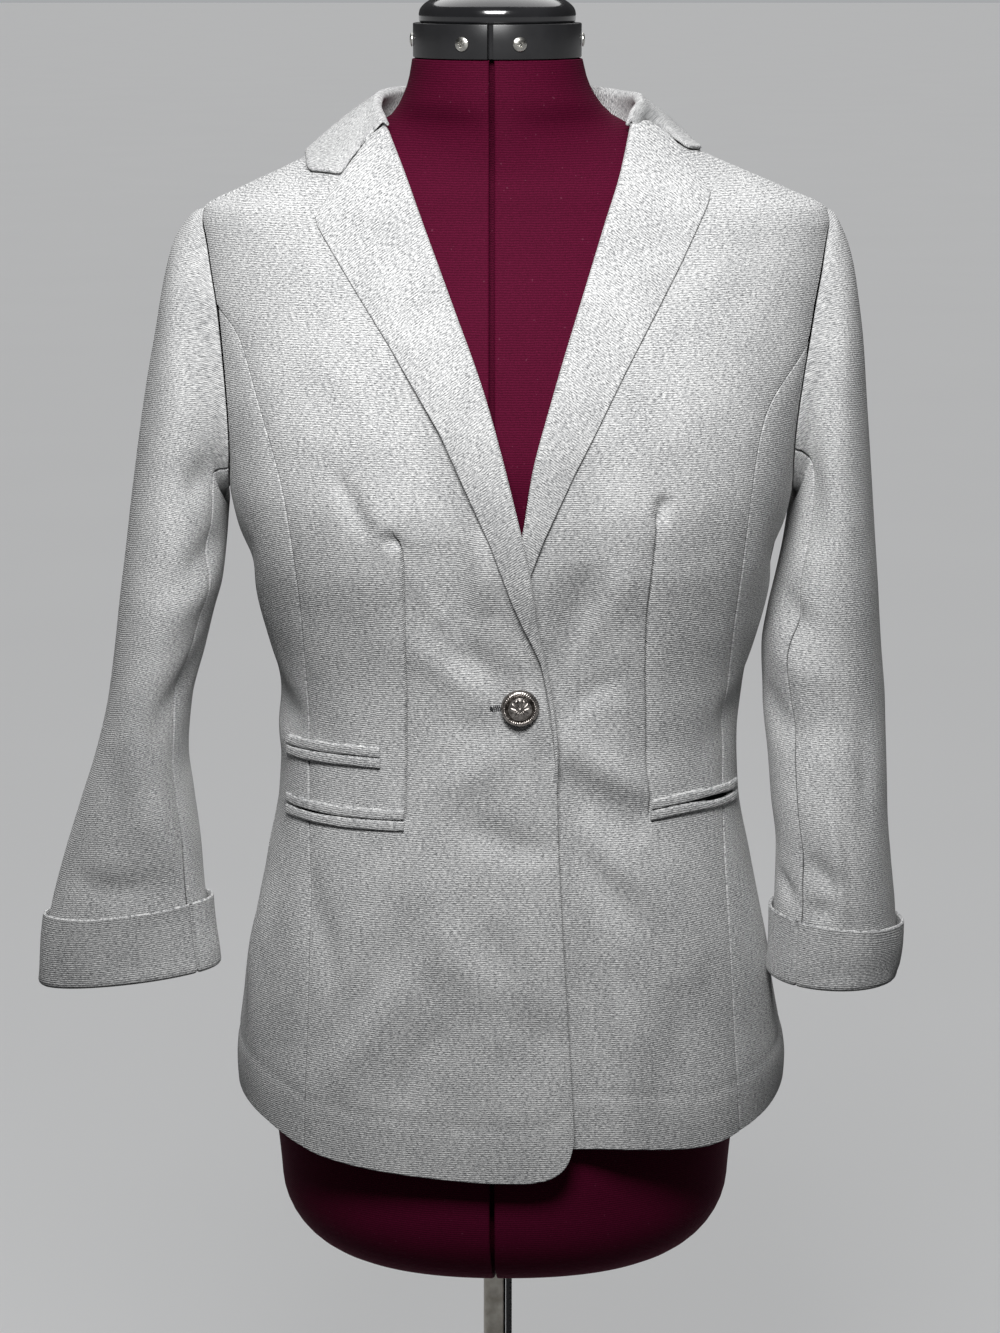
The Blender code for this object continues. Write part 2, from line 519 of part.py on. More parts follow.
# ---- sleeves ----
def sleeve_ring(table, place, around, side):
    """Points round the sleeve at this place along its table."""
    rows = np.arange(len(table))
    indexed = np.column_stack([rows, table])
    x_out, z_out, x_in, z_in, y_mid, depth = (
        curve(indexed, k + 1, place) for k in range(len(SLEEVE_COLUMNS)))
    middle = np.array([(x_out + x_in) / 2, y_mid, (z_out + z_in) / 2])
    arm = np.array([(x_out - x_in) / 2, 0, (z_out - z_in) / 2])
    seam = armhole(around, side)
    across = (ARMHOLE_Y - seam[..., 1]) / ARMHOLE_REACH
    up = (seam[..., 2] - ARMHOLE_Z) / ARMHOLE_RISE
    turn = (np.degrees(np.arctan2(across, up)) - around + 180) % 360 - 180
    angle = np.radians(around + turn * (1 - smooth(place, 0.0, 9.0)))
    tube = (middle + np.cos(angle)[..., None] * arm
            + np.sin(angle)[..., None] * np.array([0, -depth, 0]))
    held = 1 - smooth(place, 0.0, 3.5)
    start = np.array([table[0, 0] + table[0, 2], 2 * table[0, 4], table[0, 1] + table[0, 3]]) / 2
    return tube * (1 - held) + (seam + middle - start) * held


def sleeve_grid(table, places, around, side, out=0.0):
    """The sleeve's surface, moved out along its own normal."""
    around = np.asarray(around, float)

    def raw(place, angle):
        return sleeve_ring(table, min(max(place, 0), len(table) - 1), angle, side)

    grid = []
    for place in places:
        here = raw(place, around)
        if out:
            back, ahead = max(place - 0.15, 0), min(place + 0.15, len(table) - 1)
            down = raw(ahead, around) - raw(back, around)
            turn = raw(place, around + 2) - raw(place, around - 2)
            normal = np.cross(turn, down) * side
            normal /= np.linalg.norm(normal, axis=-1, keepdims=True)
            away = np.sum(normal * (here - here.mean(axis=0)), axis=-1)
            normal = normal * np.sign(away.sum())
            here = here + normal * out
        grid.append(here)
    return np.array(grid)


def place_round(z):
    """Where round the armhole the seam has this height, from 0 at the tip to 180."""
    share = (z - ARMHOLE_Z) / ARMHOLE_RISE
    return math.degrees(math.acos(math.copysign(abs(share) ** (ARMHOLE_SQUARE / 2), share)))


def pulled(end, beside, gap):
    """A line of points, moved by the gap towards the line beside it."""
    way = beside - end
    return end + way / np.linalg.norm(way, axis=-1, keepdims=True) * gap


def apart(grid):
    """The sleeve piece, pulled back from the armhole's panels and from its own long seams."""
    grid[0] = pulled(grid[0], grid[1], ARM_GAP)
    grid[:, 0] = pulled(grid[:, 0], grid[:, 1], SLEEVE_SEAM_GAP)
    grid[:, -1] = pulled(grid[:, -1], grid[:, -2], SLEEVE_SEAM_GAP)
    return grid


def build_sleeves():
    spots = np.array(sorted(place_round(z) for z in ARM_ROWS))
    for side, word, table in ((-1, "right", SLEEVE_RIGHT), (1, "left", SLEEVE_LEFT)):
        front = place_round(SLEEVE_SEAM[word])
        back = place_round(SLEEVE_BACK_SEAM)
        places = np.concatenate([[0, 0.45], np.arange(1, len(table))])
        cloth = material("cloth_sleeve_" + word, CLOTH_GREY, 0.9)
        upper = np.concatenate([[-back], -spots[(spots > 0) & (spots < back - 1)][::-1],
                                spots[spots < front - 1], [front]])
        under = np.concatenate([[front], spots[spots > front + 1],
                                360 - spots[(spots < 179) & (spots > back + 1)][::-1],
                                [360 - back]])
        for name, around in (("upper_sleeve_", upper), ("under_sleeve_", under)):
            outer = apart(sleeve_grid(table, places, around, side))
            inner = apart(sleeve_grid(table, places, around, side, -CLOTH))
            wall(name + word, outer, inner, cloth)
        around = np.concatenate([upper[:-1], under[:-1]])
        outer = sleeve_grid(table, CUFF_RINGS, around, side, LAY + CLOTH)
        inner = sleeve_grid(table, CUFF_RINGS, around, side, LAY)
        wall("cuff_" + word, outer, inner, material("cloth_cuff_" + word, CLOTH_GREY, 0.9), True)


# ---- lapels, collar and pockets ----
def lifted(flat, out):
    """Points given in x and z, lifted on to the front and moved out."""
    x, z = flat[..., 0], flat[..., 1]
    return body(angle_at(x, z), z, out)


def lapel(word, edge, top, side_edge, lower):
    foot = LAPEL_FOOT[word]
    across, down = 6, 19
    head = along_path(top, across + 1)
    heights = top[0][1] - (top[0][1] - foot) * even(down) ** 1.5
    roll = np.stack([curve(edge, 1, heights), heights], -1)
    roll[0] = top[0]
    rim = along_path(side_edge, down + 1, 1.5)
    base = np.linspace(roll[-1], rim[-1], across + 1)
    u = even(across)[None, :, None]
    v = even(down)[:, None, None]
    flat = ((1 - u) * roll[:, None] + u * rim[:, None] + (1 - v) * head[None] + v * base[None]
            - (1 - u) * (1 - v) * roll[0] - u * (1 - v) * rim[0] - (1 - u) * v * roll[-1]
            - u * v * rim[-1])
    shift = lower(flat[..., 0], flat[..., 1])
    wall("lapel_" + word, lifted(flat, shift + LAY + TRIM), lifted(flat, shift + LAY),
         material("cloth_lapel_" + word, CLOTH_GREY, 0.9))


def collar_side(table, end, side, stations):
    """Middle lines of the collar's sheet, from the neck seam over the ridge to the outer edge."""
    indexed = np.column_stack([np.arange(len(table)), table])
    last = len(table) - 1
    half_fold = 0.0022
    off = LAY + COLLAR_LIFT + CLOTH / 2
    tip = lifted(along_path(end, 7), off)
    up = np.array([0, 0, 1.0])
    lines = []
    for place in stations:
        foot_angle, x, y, z, angle, edge_z = (
            float(curve(indexed, k + 1, place)) for k in range(len(COLLAR_COLUMNS)))
        ridge = np.array([x, y, z])
        edge = body(side * angle, edge_z, off)
        out = (edge - ridge) * (1, 1, 0)
        out /= np.linalg.norm(out)
        foot = section(BODY, side * foot_angle, NECK_EDGE) + up * 0.0012 - out * 0.0010
        before = ridge - out * half_fold - up * 0.0022
        after = ridge + out * half_fold - up * 0.0022
        near_end = float(smooth(place, last - 2.4, last))
        target = tip[1:]
        bulge = up * 0.0036 + out * 0.001
        fall = []
        for k, share in enumerate((0, 0.2, 0.4, 0.6, 0.8, 1.0)):
            plain = after + (edge - after) * share + bulge * 4 * share * (1 - share)
            if k:
                plain = plain * (1 - near_end) + target[k] * near_end
            fall.append(plain)
        lines.append(np.array([foot, foot * 0.5 + before * 0.5, before, ridge] + fall))
    return lines


def build_collar():
    stations = np.concatenate([np.linspace(0, 4, 7), (4.8, 5.5, 6.1, 6.6, 7.0)])
    right = collar_side(COLLAR_RIGHT, COLLAR_END_RIGHT, -1, stations)
    left = collar_side(COLLAR_LEFT, COLLAR_END_LEFT, 1, stations[1:])
    grid = np.array(right[::-1] + left)
    du = np.gradient(grid, axis=1)
    dv = np.gradient(grid, axis=0)
    normal = np.cross(du, dv)
    normal /= np.linalg.norm(normal, axis=-1, keepdims=True)
    half = CLOTH / 2
    wall("collar", grid + normal * half, grid - normal * half, material("cloth_collar", CLOTH_GREY, 0.9))


def welt(name, ends, low, high):
    x = np.linspace(ends[0], ends[1], 11)
    columns = np.stack([low(x), (low(x) + high(x)) / 2, high(x)], 1)
    flat = np.stack([np.repeat(x[:, None], 3, 1), columns], -1)
    wall(name, lifted(flat, WELT_LAY + TRIM), lifted(flat, WELT_LAY), material("cloth_" + name, CLOTH_GREY, 0.9))


def build_pockets():
    for name, (first, last, z_first, z_mid, z_last) in POCKETS.items():
        fit = np.polyfit([first, (first + last) / 2, last], [z_first, z_mid, z_last], 2)

        def slit(x, fit=fit):
            return np.polyval(fit, x)

        ends = (first, last)
        welt(name + "_upper_welt", ends, lambda x: slit(x) + SLIT / 2,
             lambda x: slit(x) + SLIT / 2 + WELT)
        welt(name + "_lower_welt", ends, lambda x: slit(x) - SLIT / 2 - WELT,
             lambda x: slit(x) - SLIT / 2)


def build_button():
    x, z = WAIST_BUTTON
    angle = float(angle_at(x, z))
    seat = body(angle, z, BUTTON_LIFT)
    profile = [(0, 0.0), (0.0090, 0.0), (0.0113, 0.0012), (0.0120, 0.0028), (0.0112, 0.0044),
               (0.0098, 0.0046), (0.0090, 0.0040), (0.0060, 0.0052), (0, 0.0058)]
    out = facing(BODY, angle, z)
    lathe("button", profile, 24, material("button_metal", GUNMETAL, 0.3, 1.0), tuple(seat),
          aim=out)


# ---- dress form and stand ----
def front_of(table, x, z):
    """The point of the section's front half at this x."""
    x0, half, y_side, y_front, square = (
        float(curve(table, BODY_COLUMNS.index(name), z))
        for name in ("x0", "half", "y_side", "y_front", "sq_front"))
    share = min(abs(x - x0) / half, 1)
    return np.array([x, y_side - (y_side - y_front) * (1 - share ** square) ** (1 / square), z])


def build_form():
    """The torso, with the groove down its front where the two halves of such a form part."""
    foot = FORM[0, 0]
    turns = np.radians((0, 22, 45, 67, 90))
    rows = [(foot + FORM_ROUND * (1 - math.cos(a)), FORM_ROUND * (1 - math.sin(a))) for a in turns]
    rows += [(z, 0.0) for z in FORM_ROWS]
    round_it = np.concatenate([np.linspace(-180, -GROOVE_CLEAR, 18),
                               np.linspace(GROOVE_CLEAR, 180, 18)[:-1]])
    groove = ((-GROOVE / 2, 0), (-GROOVE / 2, GROOVE_DEEP), (GROOVE / 2, GROOVE_DEEP), (GROOVE / 2, 0))
    rings = []
    for z, inset in rows:
        ring = list(section(FORM, round_it, z))
        middle = [front_of(FORM, GROOVE_X + off, z) + (0, deep, 0) for off, deep in groove]
        ring = np.array(ring[:18] + middle + ring[18:])
        flat = ring - (curve(FORM, 1, z), FORM[0, 3], z)
        rings.append(ring - flat / np.linalg.norm(flat, axis=1, keepdims=True) * inset)
    rings = np.array(rings)
    count = rings.shape[1]
    faces = []
    for i in range(len(rings) - 1):
        for j in range(count):
            k = (j + 1) % count
            faces.append((i * count + j, i * count + k, (i + 1) * count + k, (i + 1) * count + j))
    faces.append(tuple(reversed(range(count))))
    faces.append(tuple((len(rings) - 1) * count + j for j in range(count)))
    points = rings.reshape(-1, 3)
    solid("form_torso", points, outward(points, faces), material("form_fabric", FORM_MAROON, 0.85))


def build_neck():
    band_low, band_high, radius = 1.3790, 1.4005, 0.0535
    black = material("form_black", GLOSS_BLACK, 0.35)
    place = (0.0, 0.008, 0.0)
    ring = [(radius - 0.006, band_low), (radius, band_low), (radius, band_high),
            (radius - 0.006, band_high)]
    opening = 4.2
    middle = 270 - 4.7
    lathe("neck_band_right", ring, 20, black, place, turn=(middle - 180 + 0.2, middle - opening / 2))
    lathe("neck_band_left", ring, 20, black, place, turn=(middle + opening / 2, middle + 180 - 0.2))
    core = radius - 0.0064
    lathe("neck_cap", [(0, band_low + 0.0002), (core, band_low + 0.0002), (core, band_high + 0.0004),
                       (0.0490, band_high + 0.0006), (0.0498, band_high + 0.006), (0.0470, 1.4130),
                       (0.0400, 1.4195), (0.0200, 1.4225), (0, 1.4230)], 32,
          material("cap_black", GLOSS_BLACK, 0.12), place)
    lathe("neck_dial", [(0, 1.4234), (0.0225, 1.4234), (0.0225, 1.4330), (0.0205, 1.4350), (0, 1.4350)],
          24, material("dial_black", GLOSS_BLACK, 0.2), place)
    steel = material("screw_steel", STEEL, 0.3, 1.0)
    reach = radius * math.cos(math.pi / 20) + SCREW_LIFT
    head = [(0, 0.0), (0.0044, 0.0), (0.0040, 0.0009), (0.0022, 0.0015), (0, 0.0017)]
    for name, bearing, height in (("screw_front_right", 246, 1.3885), ("screw_front_left", 285, 1.3885),
                                  ("screw_side_right", 182, 1.3900), ("screw_side_left", -2, 1.3900)):
        out = np.array((math.cos(math.radians(bearing)), math.sin(math.radians(bearing)), 0))
        lathe(name, head, 16, steel, np.array(place) + out * reach + (0, 0, height), aim=out)


def box(name, low, high, made_of):
    x, y, z = zip(low, high)
    points = np.array([(x[i], y[j], z[k]) for k in (0, 1) for j in (0, 1) for i in (0, 1)])
    faces = [(0, 2, 3, 1), (4, 5, 7, 6), (0, 1, 5, 4), (2, 6, 7, 3), (0, 4, 6, 2), (1, 3, 7, 5)]
    solid(name, points, outward(points, faces), made_of)


def build_stand():
    axis = (-MIDDLE_X, 0, 0)
    near = 0.0003
    top = FORM[0, 0] - near
    lathe("base", [(0, 0.0), (BASE_R, 0.0), (BASE_R, 0.008), (BASE_R - 0.006, 0.0125), (0.030, BASE_TOP),
                   (0.026, HUB_TOP - 0.004), (0.022, HUB_TOP), (0, HUB_TOP)], 40,
          material("base_metal", (0.05, 0.05, 0.055, 1), 0.5), axis)
    lathe("pole", [(0, HUB_TOP + near), (POLE_R, HUB_TOP + near), (POLE_R, top), (0, top)], 20,
          material("pole_metal", (0.30, 0.28, 0.24, 1), 0.35, 1.0), axis)
    start = POLE_R + near - MIDDLE_X
    box("rack", (start, -RACK[1] / 2, HUB_TOP + near), (start + RACK[0], RACK[1] / 2, top),
        material("rack_black", GLOSS_BLACK, 0.45))


def main():
    for found in list(bpy.data.objects):
        bpy.data.objects.remove(found)
    build_body()
    build_sleeves()
    lapel("right", EDGE_RIGHT, LAPEL_TOP_RIGHT, LAPEL_OUT_RIGHT, lambda x, z: 0 * x)
    lapel("left", EDGE_LEFT, LAPEL_TOP_LEFT, LAPEL_OUT_LEFT, underlap)
    build_collar()
    build_pockets()
    build_button()
    build_form()
    build_neck()
    build_stand()


main()
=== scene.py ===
"""Looks of the blazer and its dress form: cloth shells with seams, darts and creases, and the
finish of every surface. Metres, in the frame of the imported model: the front faces -Y, and the
floor is z = 0."""

import math

import bmesh
import bpy
import numpy as np
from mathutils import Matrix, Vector


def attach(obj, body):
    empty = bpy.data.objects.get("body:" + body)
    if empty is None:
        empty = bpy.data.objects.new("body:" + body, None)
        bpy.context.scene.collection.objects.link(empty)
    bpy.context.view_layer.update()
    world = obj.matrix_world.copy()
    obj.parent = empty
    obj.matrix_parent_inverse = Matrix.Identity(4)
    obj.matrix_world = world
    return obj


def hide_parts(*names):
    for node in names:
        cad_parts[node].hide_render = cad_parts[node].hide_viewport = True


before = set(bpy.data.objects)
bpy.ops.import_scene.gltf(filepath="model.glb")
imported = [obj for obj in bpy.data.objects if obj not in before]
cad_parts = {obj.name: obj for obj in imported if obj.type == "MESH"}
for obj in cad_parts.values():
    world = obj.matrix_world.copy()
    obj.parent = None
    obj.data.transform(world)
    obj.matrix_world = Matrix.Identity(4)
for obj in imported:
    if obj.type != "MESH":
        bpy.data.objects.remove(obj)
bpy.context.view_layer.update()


# ---- driving sizes and tables, as in the model's own source ----
CLOTH = 0.0020  # one wall of double knit with its facing
TRIM = 0.0016  # lapel and welt walls
LAY = 0.0008  # what lies on a panel stands this far off it
BUTTON_LIFT = 0.0010  # back of the button to the cloth
COLLAR_LIFT = 0.0004  # the collar stands off more than a lapel
UNDERLAP = 0.0052  # how far the lower front lies inside the upper one
HEM = 0.690  # nominal hem height
HEM_BLEND = 0.780  # above this height the rows are level
WAIST_BUTTON = (0.0142, 0.9824)  # x, z
NECK_EDGE = 1.335  # top row of the body panels
UNDERARM = 1.106
SHOULDER_TIP = 1.284
MIDDLE_X = 0.0020  # the tables' x = 0 lies this far from the pole
POLE_R = 0.0075
RACK = (0.0040, 0.0080)  # toothed strip beside the pole, x and y
BASE_R = 0.180
BASE_TOP = 0.016
HUB_TOP = 0.044
GROOVE = 0.0030  # gap down the front of the form
GROOVE_DEEP = 0.012
GROOVE_X = -0.0035
FORM_ROUND = 0.050  # rounding of the torso's foot
# Sections of the jacket: height, middle x, half width, y of the side line, y of the front,
# y of the back, and how square the front and back halves are (2 is an ellipse).
BODY_COLUMNS = ("z", "x0", "half", "y_side", "y_front", "y_back", "sq_front", "sq_back")
BODY = np.array([
    (0.640, 0.0085, 0.1800, 0.004, -0.1300, 0.1230, 2.30, 2.20),
    (0.680, 0.0088, 0.1815, 0.004, -0.1270, 0.1240, 2.30, 2.20),
    (0.720, 0.0090, 0.1845, 0.004, -0.1235, 0.1235, 2.30, 2.20),
    (0.755, 0.0080, 0.1800, 0.004, -0.1200, 0.1205, 2.30, 2.20),
    (0.800, 0.0070, 0.1738, 0.004, -0.1160, 0.1130, 2.30, 2.20),
    (0.860, 0.0072, 0.1605, 0.004, -0.1100, 0.1000, 2.30, 2.20),
    (0.905, 0.0072, 0.1520, 0.004, -0.1060, 0.0915, 2.30, 2.20),
    (0.945, 0.0077, 0.1500, 0.004, -0.1045, 0.0870, 2.30, 2.20),
    (0.985, 0.0095, 0.1545, 0.004, -0.1070, 0.0885, 2.35, 2.20),
    (1.030, 0.0092, 0.1655, 0.004, -0.1155, 0.0950, 2.45, 2.20),
    (1.070, 0.0088, 0.1745, 0.004, -0.1250, 0.1020, 2.55, 2.25),
    (1.105, 0.0086, 0.1815, 0.004, -0.1285, 0.1080, 2.55, 2.30),
    (1.140, 0.0092, 0.1870, 0.005, -0.1250, 0.1120, 2.50, 2.35),
    (1.180, 0.0105, 0.1940, 0.006, -0.1140, 0.1135, 2.40, 2.40),
    (1.220, 0.0118, 0.2000, 0.008, -0.0980, 0.1110, 2.30, 2.40),
    (1.255, 0.0122, 0.2035, 0.010, -0.0820, 0.1040, 2.20, 2.35),
    (1.274, 0.0120, 0.2035, 0.011, -0.0710, 0.0980, 2.15, 2.30),
    (1.284, 0.0115, 0.2000, 0.012, -0.0650, 0.0940, 2.10, 2.25),
    (1.296, 0.0100, 0.1760, 0.013, -0.0580, 0.0885, 2.05, 2.20),
    (1.309, 0.0085, 0.1470, 0.014, -0.0490, 0.0825, 2.00, 2.15),
    (1.322, 0.0065, 0.1190, 0.015, -0.0400, 0.0765, 2.00, 2.10),
    (1.333, 0.0045, 0.0960, 0.016, -0.0310, 0.0715, 2.00, 2.05),
    (1.342, 0.0030, 0.0790, 0.017, -0.0230, 0.0680, 2.00, 2.00),
    (1.350, 0.0025, 0.0680, 0.017, -0.0180, 0.0660, 2.00, 2.00),
])
# Sections of the dress form, in the same columns.
FORM = np.array([
    (0.585, 0.0050, 0.1480, 0.004, -0.1130, 0.1080, 2.10, 2.10),
    (0.640, 0.0050, 0.1515, 0.004, -0.1130, 0.1100, 2.10, 2.10),
    (0.700, 0.0050, 0.1560, 0.004, -0.1110, 0.1110, 2.15, 2.20),
    (0.760, 0.0050, 0.1550, 0.004, -0.1070, 0.1090, 2.20, 2.20),
    (0.840, 0.0060, 0.1430, 0.004, -0.0990, 0.0940, 2.20, 2.20),
    (0.920, 0.0065, 0.1260, 0.004, -0.0900, 0.0780, 2.20, 2.20),
    (0.960, 0.0070, 0.1220, 0.004, -0.0880, 0.0740, 2.20, 2.20),
    (1.020, 0.0080, 0.1330, 0.004, -0.0950, 0.0800, 2.25, 2.20),
    (1.080, 0.0080, 0.1480, 0.004, -0.1090, 0.0930, 2.35, 2.20),
    (1.120, 0.0085, 0.1540, 0.004, -0.1110, 0.0980, 2.30, 2.25),
    (1.170, 0.0095, 0.1600, 0.006, -0.1000, 0.1010, 2.20, 2.30),
    (1.220, 0.0105, 0.1680, 0.008, -0.0830, 0.0990, 2.00, 2.30),
    (1.255, 0.0110, 0.1740, 0.010, -0.0680, 0.0940, 1.85, 2.25),
    (1.275, 0.0110, 0.1770, 0.011, -0.0600, 0.0890, 1.75, 2.20),
    (1.286, 0.0105, 0.1715, 0.012, -0.0555, 0.0855, 1.70, 2.15),
    (1.296, 0.0100, 0.1640, 0.013, -0.0530, 0.0815, 1.60, 2.10),
    (1.309, 0.0085, 0.1400, 0.014, -0.0480, 0.0750, 1.42, 2.05),
    (1.322, 0.0065, 0.1120, 0.015, -0.0470, 0.0690, 1.30, 2.00),
    (1.333, 0.0045, 0.0885, 0.015, -0.0465, 0.0640, 1.35, 2.00),
    (1.342, 0.0030, 0.0715, 0.014, -0.0460, 0.0620, 1.60, 2.00),
    (1.352, 0.0015, 0.0630, 0.013, -0.0465, 0.0620, 2.00, 2.00),
    (1.365, 0.0005, 0.0570, 0.010, -0.0460, 0.0620, 2.00, 2.00),
    (1.3785, 0.0000, 0.0540, 0.008, -0.0455, 0.0620, 2.00, 2.00),
])
# Seams on the front, height against x.
PRINCESS_RIGHT = np.array([(0.690, -0.1270), (0.800, -0.1225), (0.950, -0.1220), (1.030, -0.1245),
                           (1.108, -0.1325), (1.171, -0.1500), (1.209, -0.1640), (1.228, -0.1800)])
PRINCESS_LEFT = np.array([(0.690, 0.1590), (0.800, 0.1525), (0.922, 0.1465), (0.994, 0.1490),
                          (1.072, 0.1550), (1.139, 0.1625), (1.182, 0.1745), (1.212, 0.1900)])
# Seams on the back, height against the angle round the body from the front middle.
BACK_SEAM = np.array([(0.690, 136.0), (0.800, 138.0), (0.950, 141.0), (1.080, 137.0),
                      (1.160, 127.0), (1.226, 112.0)])
# The folded front edge and roll line of each front, height against x.
EDGE_RIGHT = np.array([(0.660, 0.0490), (0.700, 0.0490), (0.760, 0.0464), (0.838, 0.0417),
                       (0.921, 0.0383), (0.953, 0.0376), (0.990, 0.0336), (1.033, 0.0250),
                       (1.067, 0.0202), (1.114, 0.0097), (1.177, -0.0075), (1.235, -0.0291),
                       (1.281, -0.0471), (1.310, -0.0585), (1.336, -0.0700)])
EDGE_LEFT = np.array([(0.660, -0.0120), (1.045, -0.0110), (1.070, 0.0110), (1.092, 0.0158),
                      (1.133, 0.0222), (1.176, 0.0339), (1.232, 0.0515), (1.281, 0.0676),
                      (1.308, 0.0769), (1.336, 0.0840)])
# Hem heights against the angle from the front middle.
HEM_RIGHT = np.array([(-180.0, 0.693), (-130.0, 0.698), (-90.0, 0.704), (-62.0, 0.695),
                      (-40.0, 0.681), (-15.0, 0.675), (1.0, 0.6722), (5.0, 0.6742),
                      (7.5, 0.6785), (9.2, 0.6860), (9.9, 0.6950), (10.3, 0.7040)])
HEM_LEFT = np.array([(-15.0, 0.693), (15.0, 0.693), (42.0, 0.687), (62.0, 0.695),
                     (90.0, 0.707), (130.0, 0.700), (180.0, 0.693)])
# The armhole, in degrees and height about its own middle.
ARMHOLE_Z = (UNDERARM + SHOULDER_TIP) / 2
ARMHOLE_RISE = (SHOULDER_TIP - UNDERARM) / 2
ARMHOLE_Y = 0.010
ARMHOLE_REACH = 0.052
ARMHOLE_FRONT = 21.0
ARMHOLE_BACK = 22.0
ARMHOLE_SQUARE = 2.3
# Rings of the sleeves: outer x and z, inner x and z, middle y, half depth.
# The first row follows the armhole seam, the last is the sleeve end inside the cuff.
SLEEVE_COLUMNS = ("x_out", "z_out", "x_in", "z_in", "y_mid", "depth")
SLEEVE_RIGHT = np.array([
    (-0.1885, 1.2845, -0.1733, 1.1053, 0.012, 0.0440),
    (-0.1970, 1.2800, -0.1738, 1.1022, 0.011, 0.0480),
    (-0.2080, 1.2640, -0.1742, 1.0990, 0.010, 0.0520),
    (-0.2145, 1.2400, -0.1745, 1.0950, 0.008, 0.0550),
    (-0.2205, 1.2080, -0.1749, 1.0895, 0.006, 0.0570),
    (-0.2270, 1.1720, -0.1754, 1.0825, 0.004, 0.0580),
    (-0.2325, 1.1350, -0.1760, 1.0730, 0.001, 0.0580),
    (-0.2375, 1.0980, -0.1770, 1.0620, -0.003, 0.0580),
    (-0.2415, 1.0650, -0.1795, 1.0450, -0.006, 0.0575),
    (-0.2455, 1.0350, -0.1855, 1.0250, -0.009, 0.0570),
    (-0.2495, 1.0030, -0.1920, 1.0000, -0.011, 0.0560),
    (-0.2550, 0.9660, -0.2010, 0.9660, -0.013, 0.0550),
    (-0.2635, 0.9320, -0.2035, 0.9340, -0.016, 0.0510),
    (-0.2740, 0.9000, -0.2000, 0.9060, -0.019, 0.0450),
    (-0.2850, 0.8660, -0.1955, 0.8740, -0.023, 0.0370),
    (-0.2940, 0.8330, -0.1930, 0.8450, -0.027, 0.0300),
    (-0.2985, 0.8090, -0.1905, 0.8220, -0.029, 0.0265),
    (-0.3010, 0.7795, -0.1862, 0.7930, -0.030, 0.0250),
])
SLEEVE_LEFT = np.array([
    (0.2115, 1.2845, 0.1905, 1.1053, 0.012, 0.0440),
    (0.2170, 1.2800, 0.1912, 1.1022, 0.011, 0.0480),
    (0.2240, 1.2640, 0.1913, 1.0990, 0.010, 0.0520),
    (0.2300, 1.2400, 0.1910, 1.0950, 0.008, 0.0550),
    (0.2345, 1.2080, 0.1902, 1.0895, 0.006, 0.0570),
    (0.2375, 1.1720, 0.1888, 1.0825, 0.004, 0.0580),
    (0.2405, 1.1350, 0.1870, 1.0730, 0.001, 0.0580),
    (0.2435, 1.0980, 0.1846, 1.0620, -0.003, 0.0580),
    (0.2460, 1.0650, 0.1806, 1.0450, -0.006, 0.0570),
    (0.2485, 1.0350, 0.1760, 1.0250, -0.009, 0.0560),
    (0.2512, 1.0030, 0.1725, 1.0000, -0.011, 0.0530),
    (0.2540, 0.9660, 0.1735, 0.9660, -0.016, 0.0490),
    (0.2545, 0.9320, 0.1765, 0.9340, -0.026, 0.0470),
    (0.2550, 0.9000, 0.1785, 0.9060, -0.034, 0.0455),
    (0.2575, 0.8680, 0.1820, 0.8740, -0.040, 0.0440),
    (0.2605, 0.8340, 0.1815, 0.8420, -0.044, 0.0425),
    (0.2612, 0.8130, 0.1808, 0.8250, -0.046, 0.0410),
    (0.2590, 0.7915, 0.1796, 0.7935, -0.047, 0.0400),
])
SLEEVE_SEAM = {"right": 1.122, "left": 1.135}  # armhole height where the front seam starts
SLEEVE_BACK_SEAM = 1.135  # and the back seam
CUFF_TOP = 15.35  # place down the sleeve's table where the turned cuff ends
# Lapels: corners in x and z, lifted on to the front. The roll line comes from the edge table.
LAPEL_TOP_RIGHT = ((-0.0700, 1.3347), (-0.0798, 1.3282), (-0.0975, 1.3060), (-0.1135, 1.2830))
LAPEL_OUT_RIGHT = ((-0.1135, 1.2830), (-0.1118, 1.2770), (-0.0977, 1.2550), (-0.0660, 1.2070),
                   (-0.0350, 1.1560), (-0.0045, 1.0890), (0.0092, 1.0510), (0.0165, 1.0340),
                   (0.0215, 1.0240), (0.0268, 1.0120), (0.0300, 0.9980), (0.0330, 0.9800),
                   (0.0350, 0.9630), (0.0362, 0.9470), (0.0374, 0.9320))
LAPEL_TOP_LEFT = ((0.0841, 1.3366), (0.0880, 1.3382), (0.0945, 1.3378), (0.1020, 1.3335),
                  (0.1100, 1.3270), (0.1162, 1.3205), (0.1335, 1.2975))
LAPEL_OUT_LEFT = ((0.1335, 1.2975), (0.1320, 1.2910), (0.1134, 1.2550), (0.0785, 1.1920),
                  (0.0476, 1.1320), (0.0293, 1.0915), (0.0215, 1.0700), (0.0205, 1.0660))
LAPEL_FOOT = {"right": 0.932, "left": 1.066}  # height of the lapel's lower end
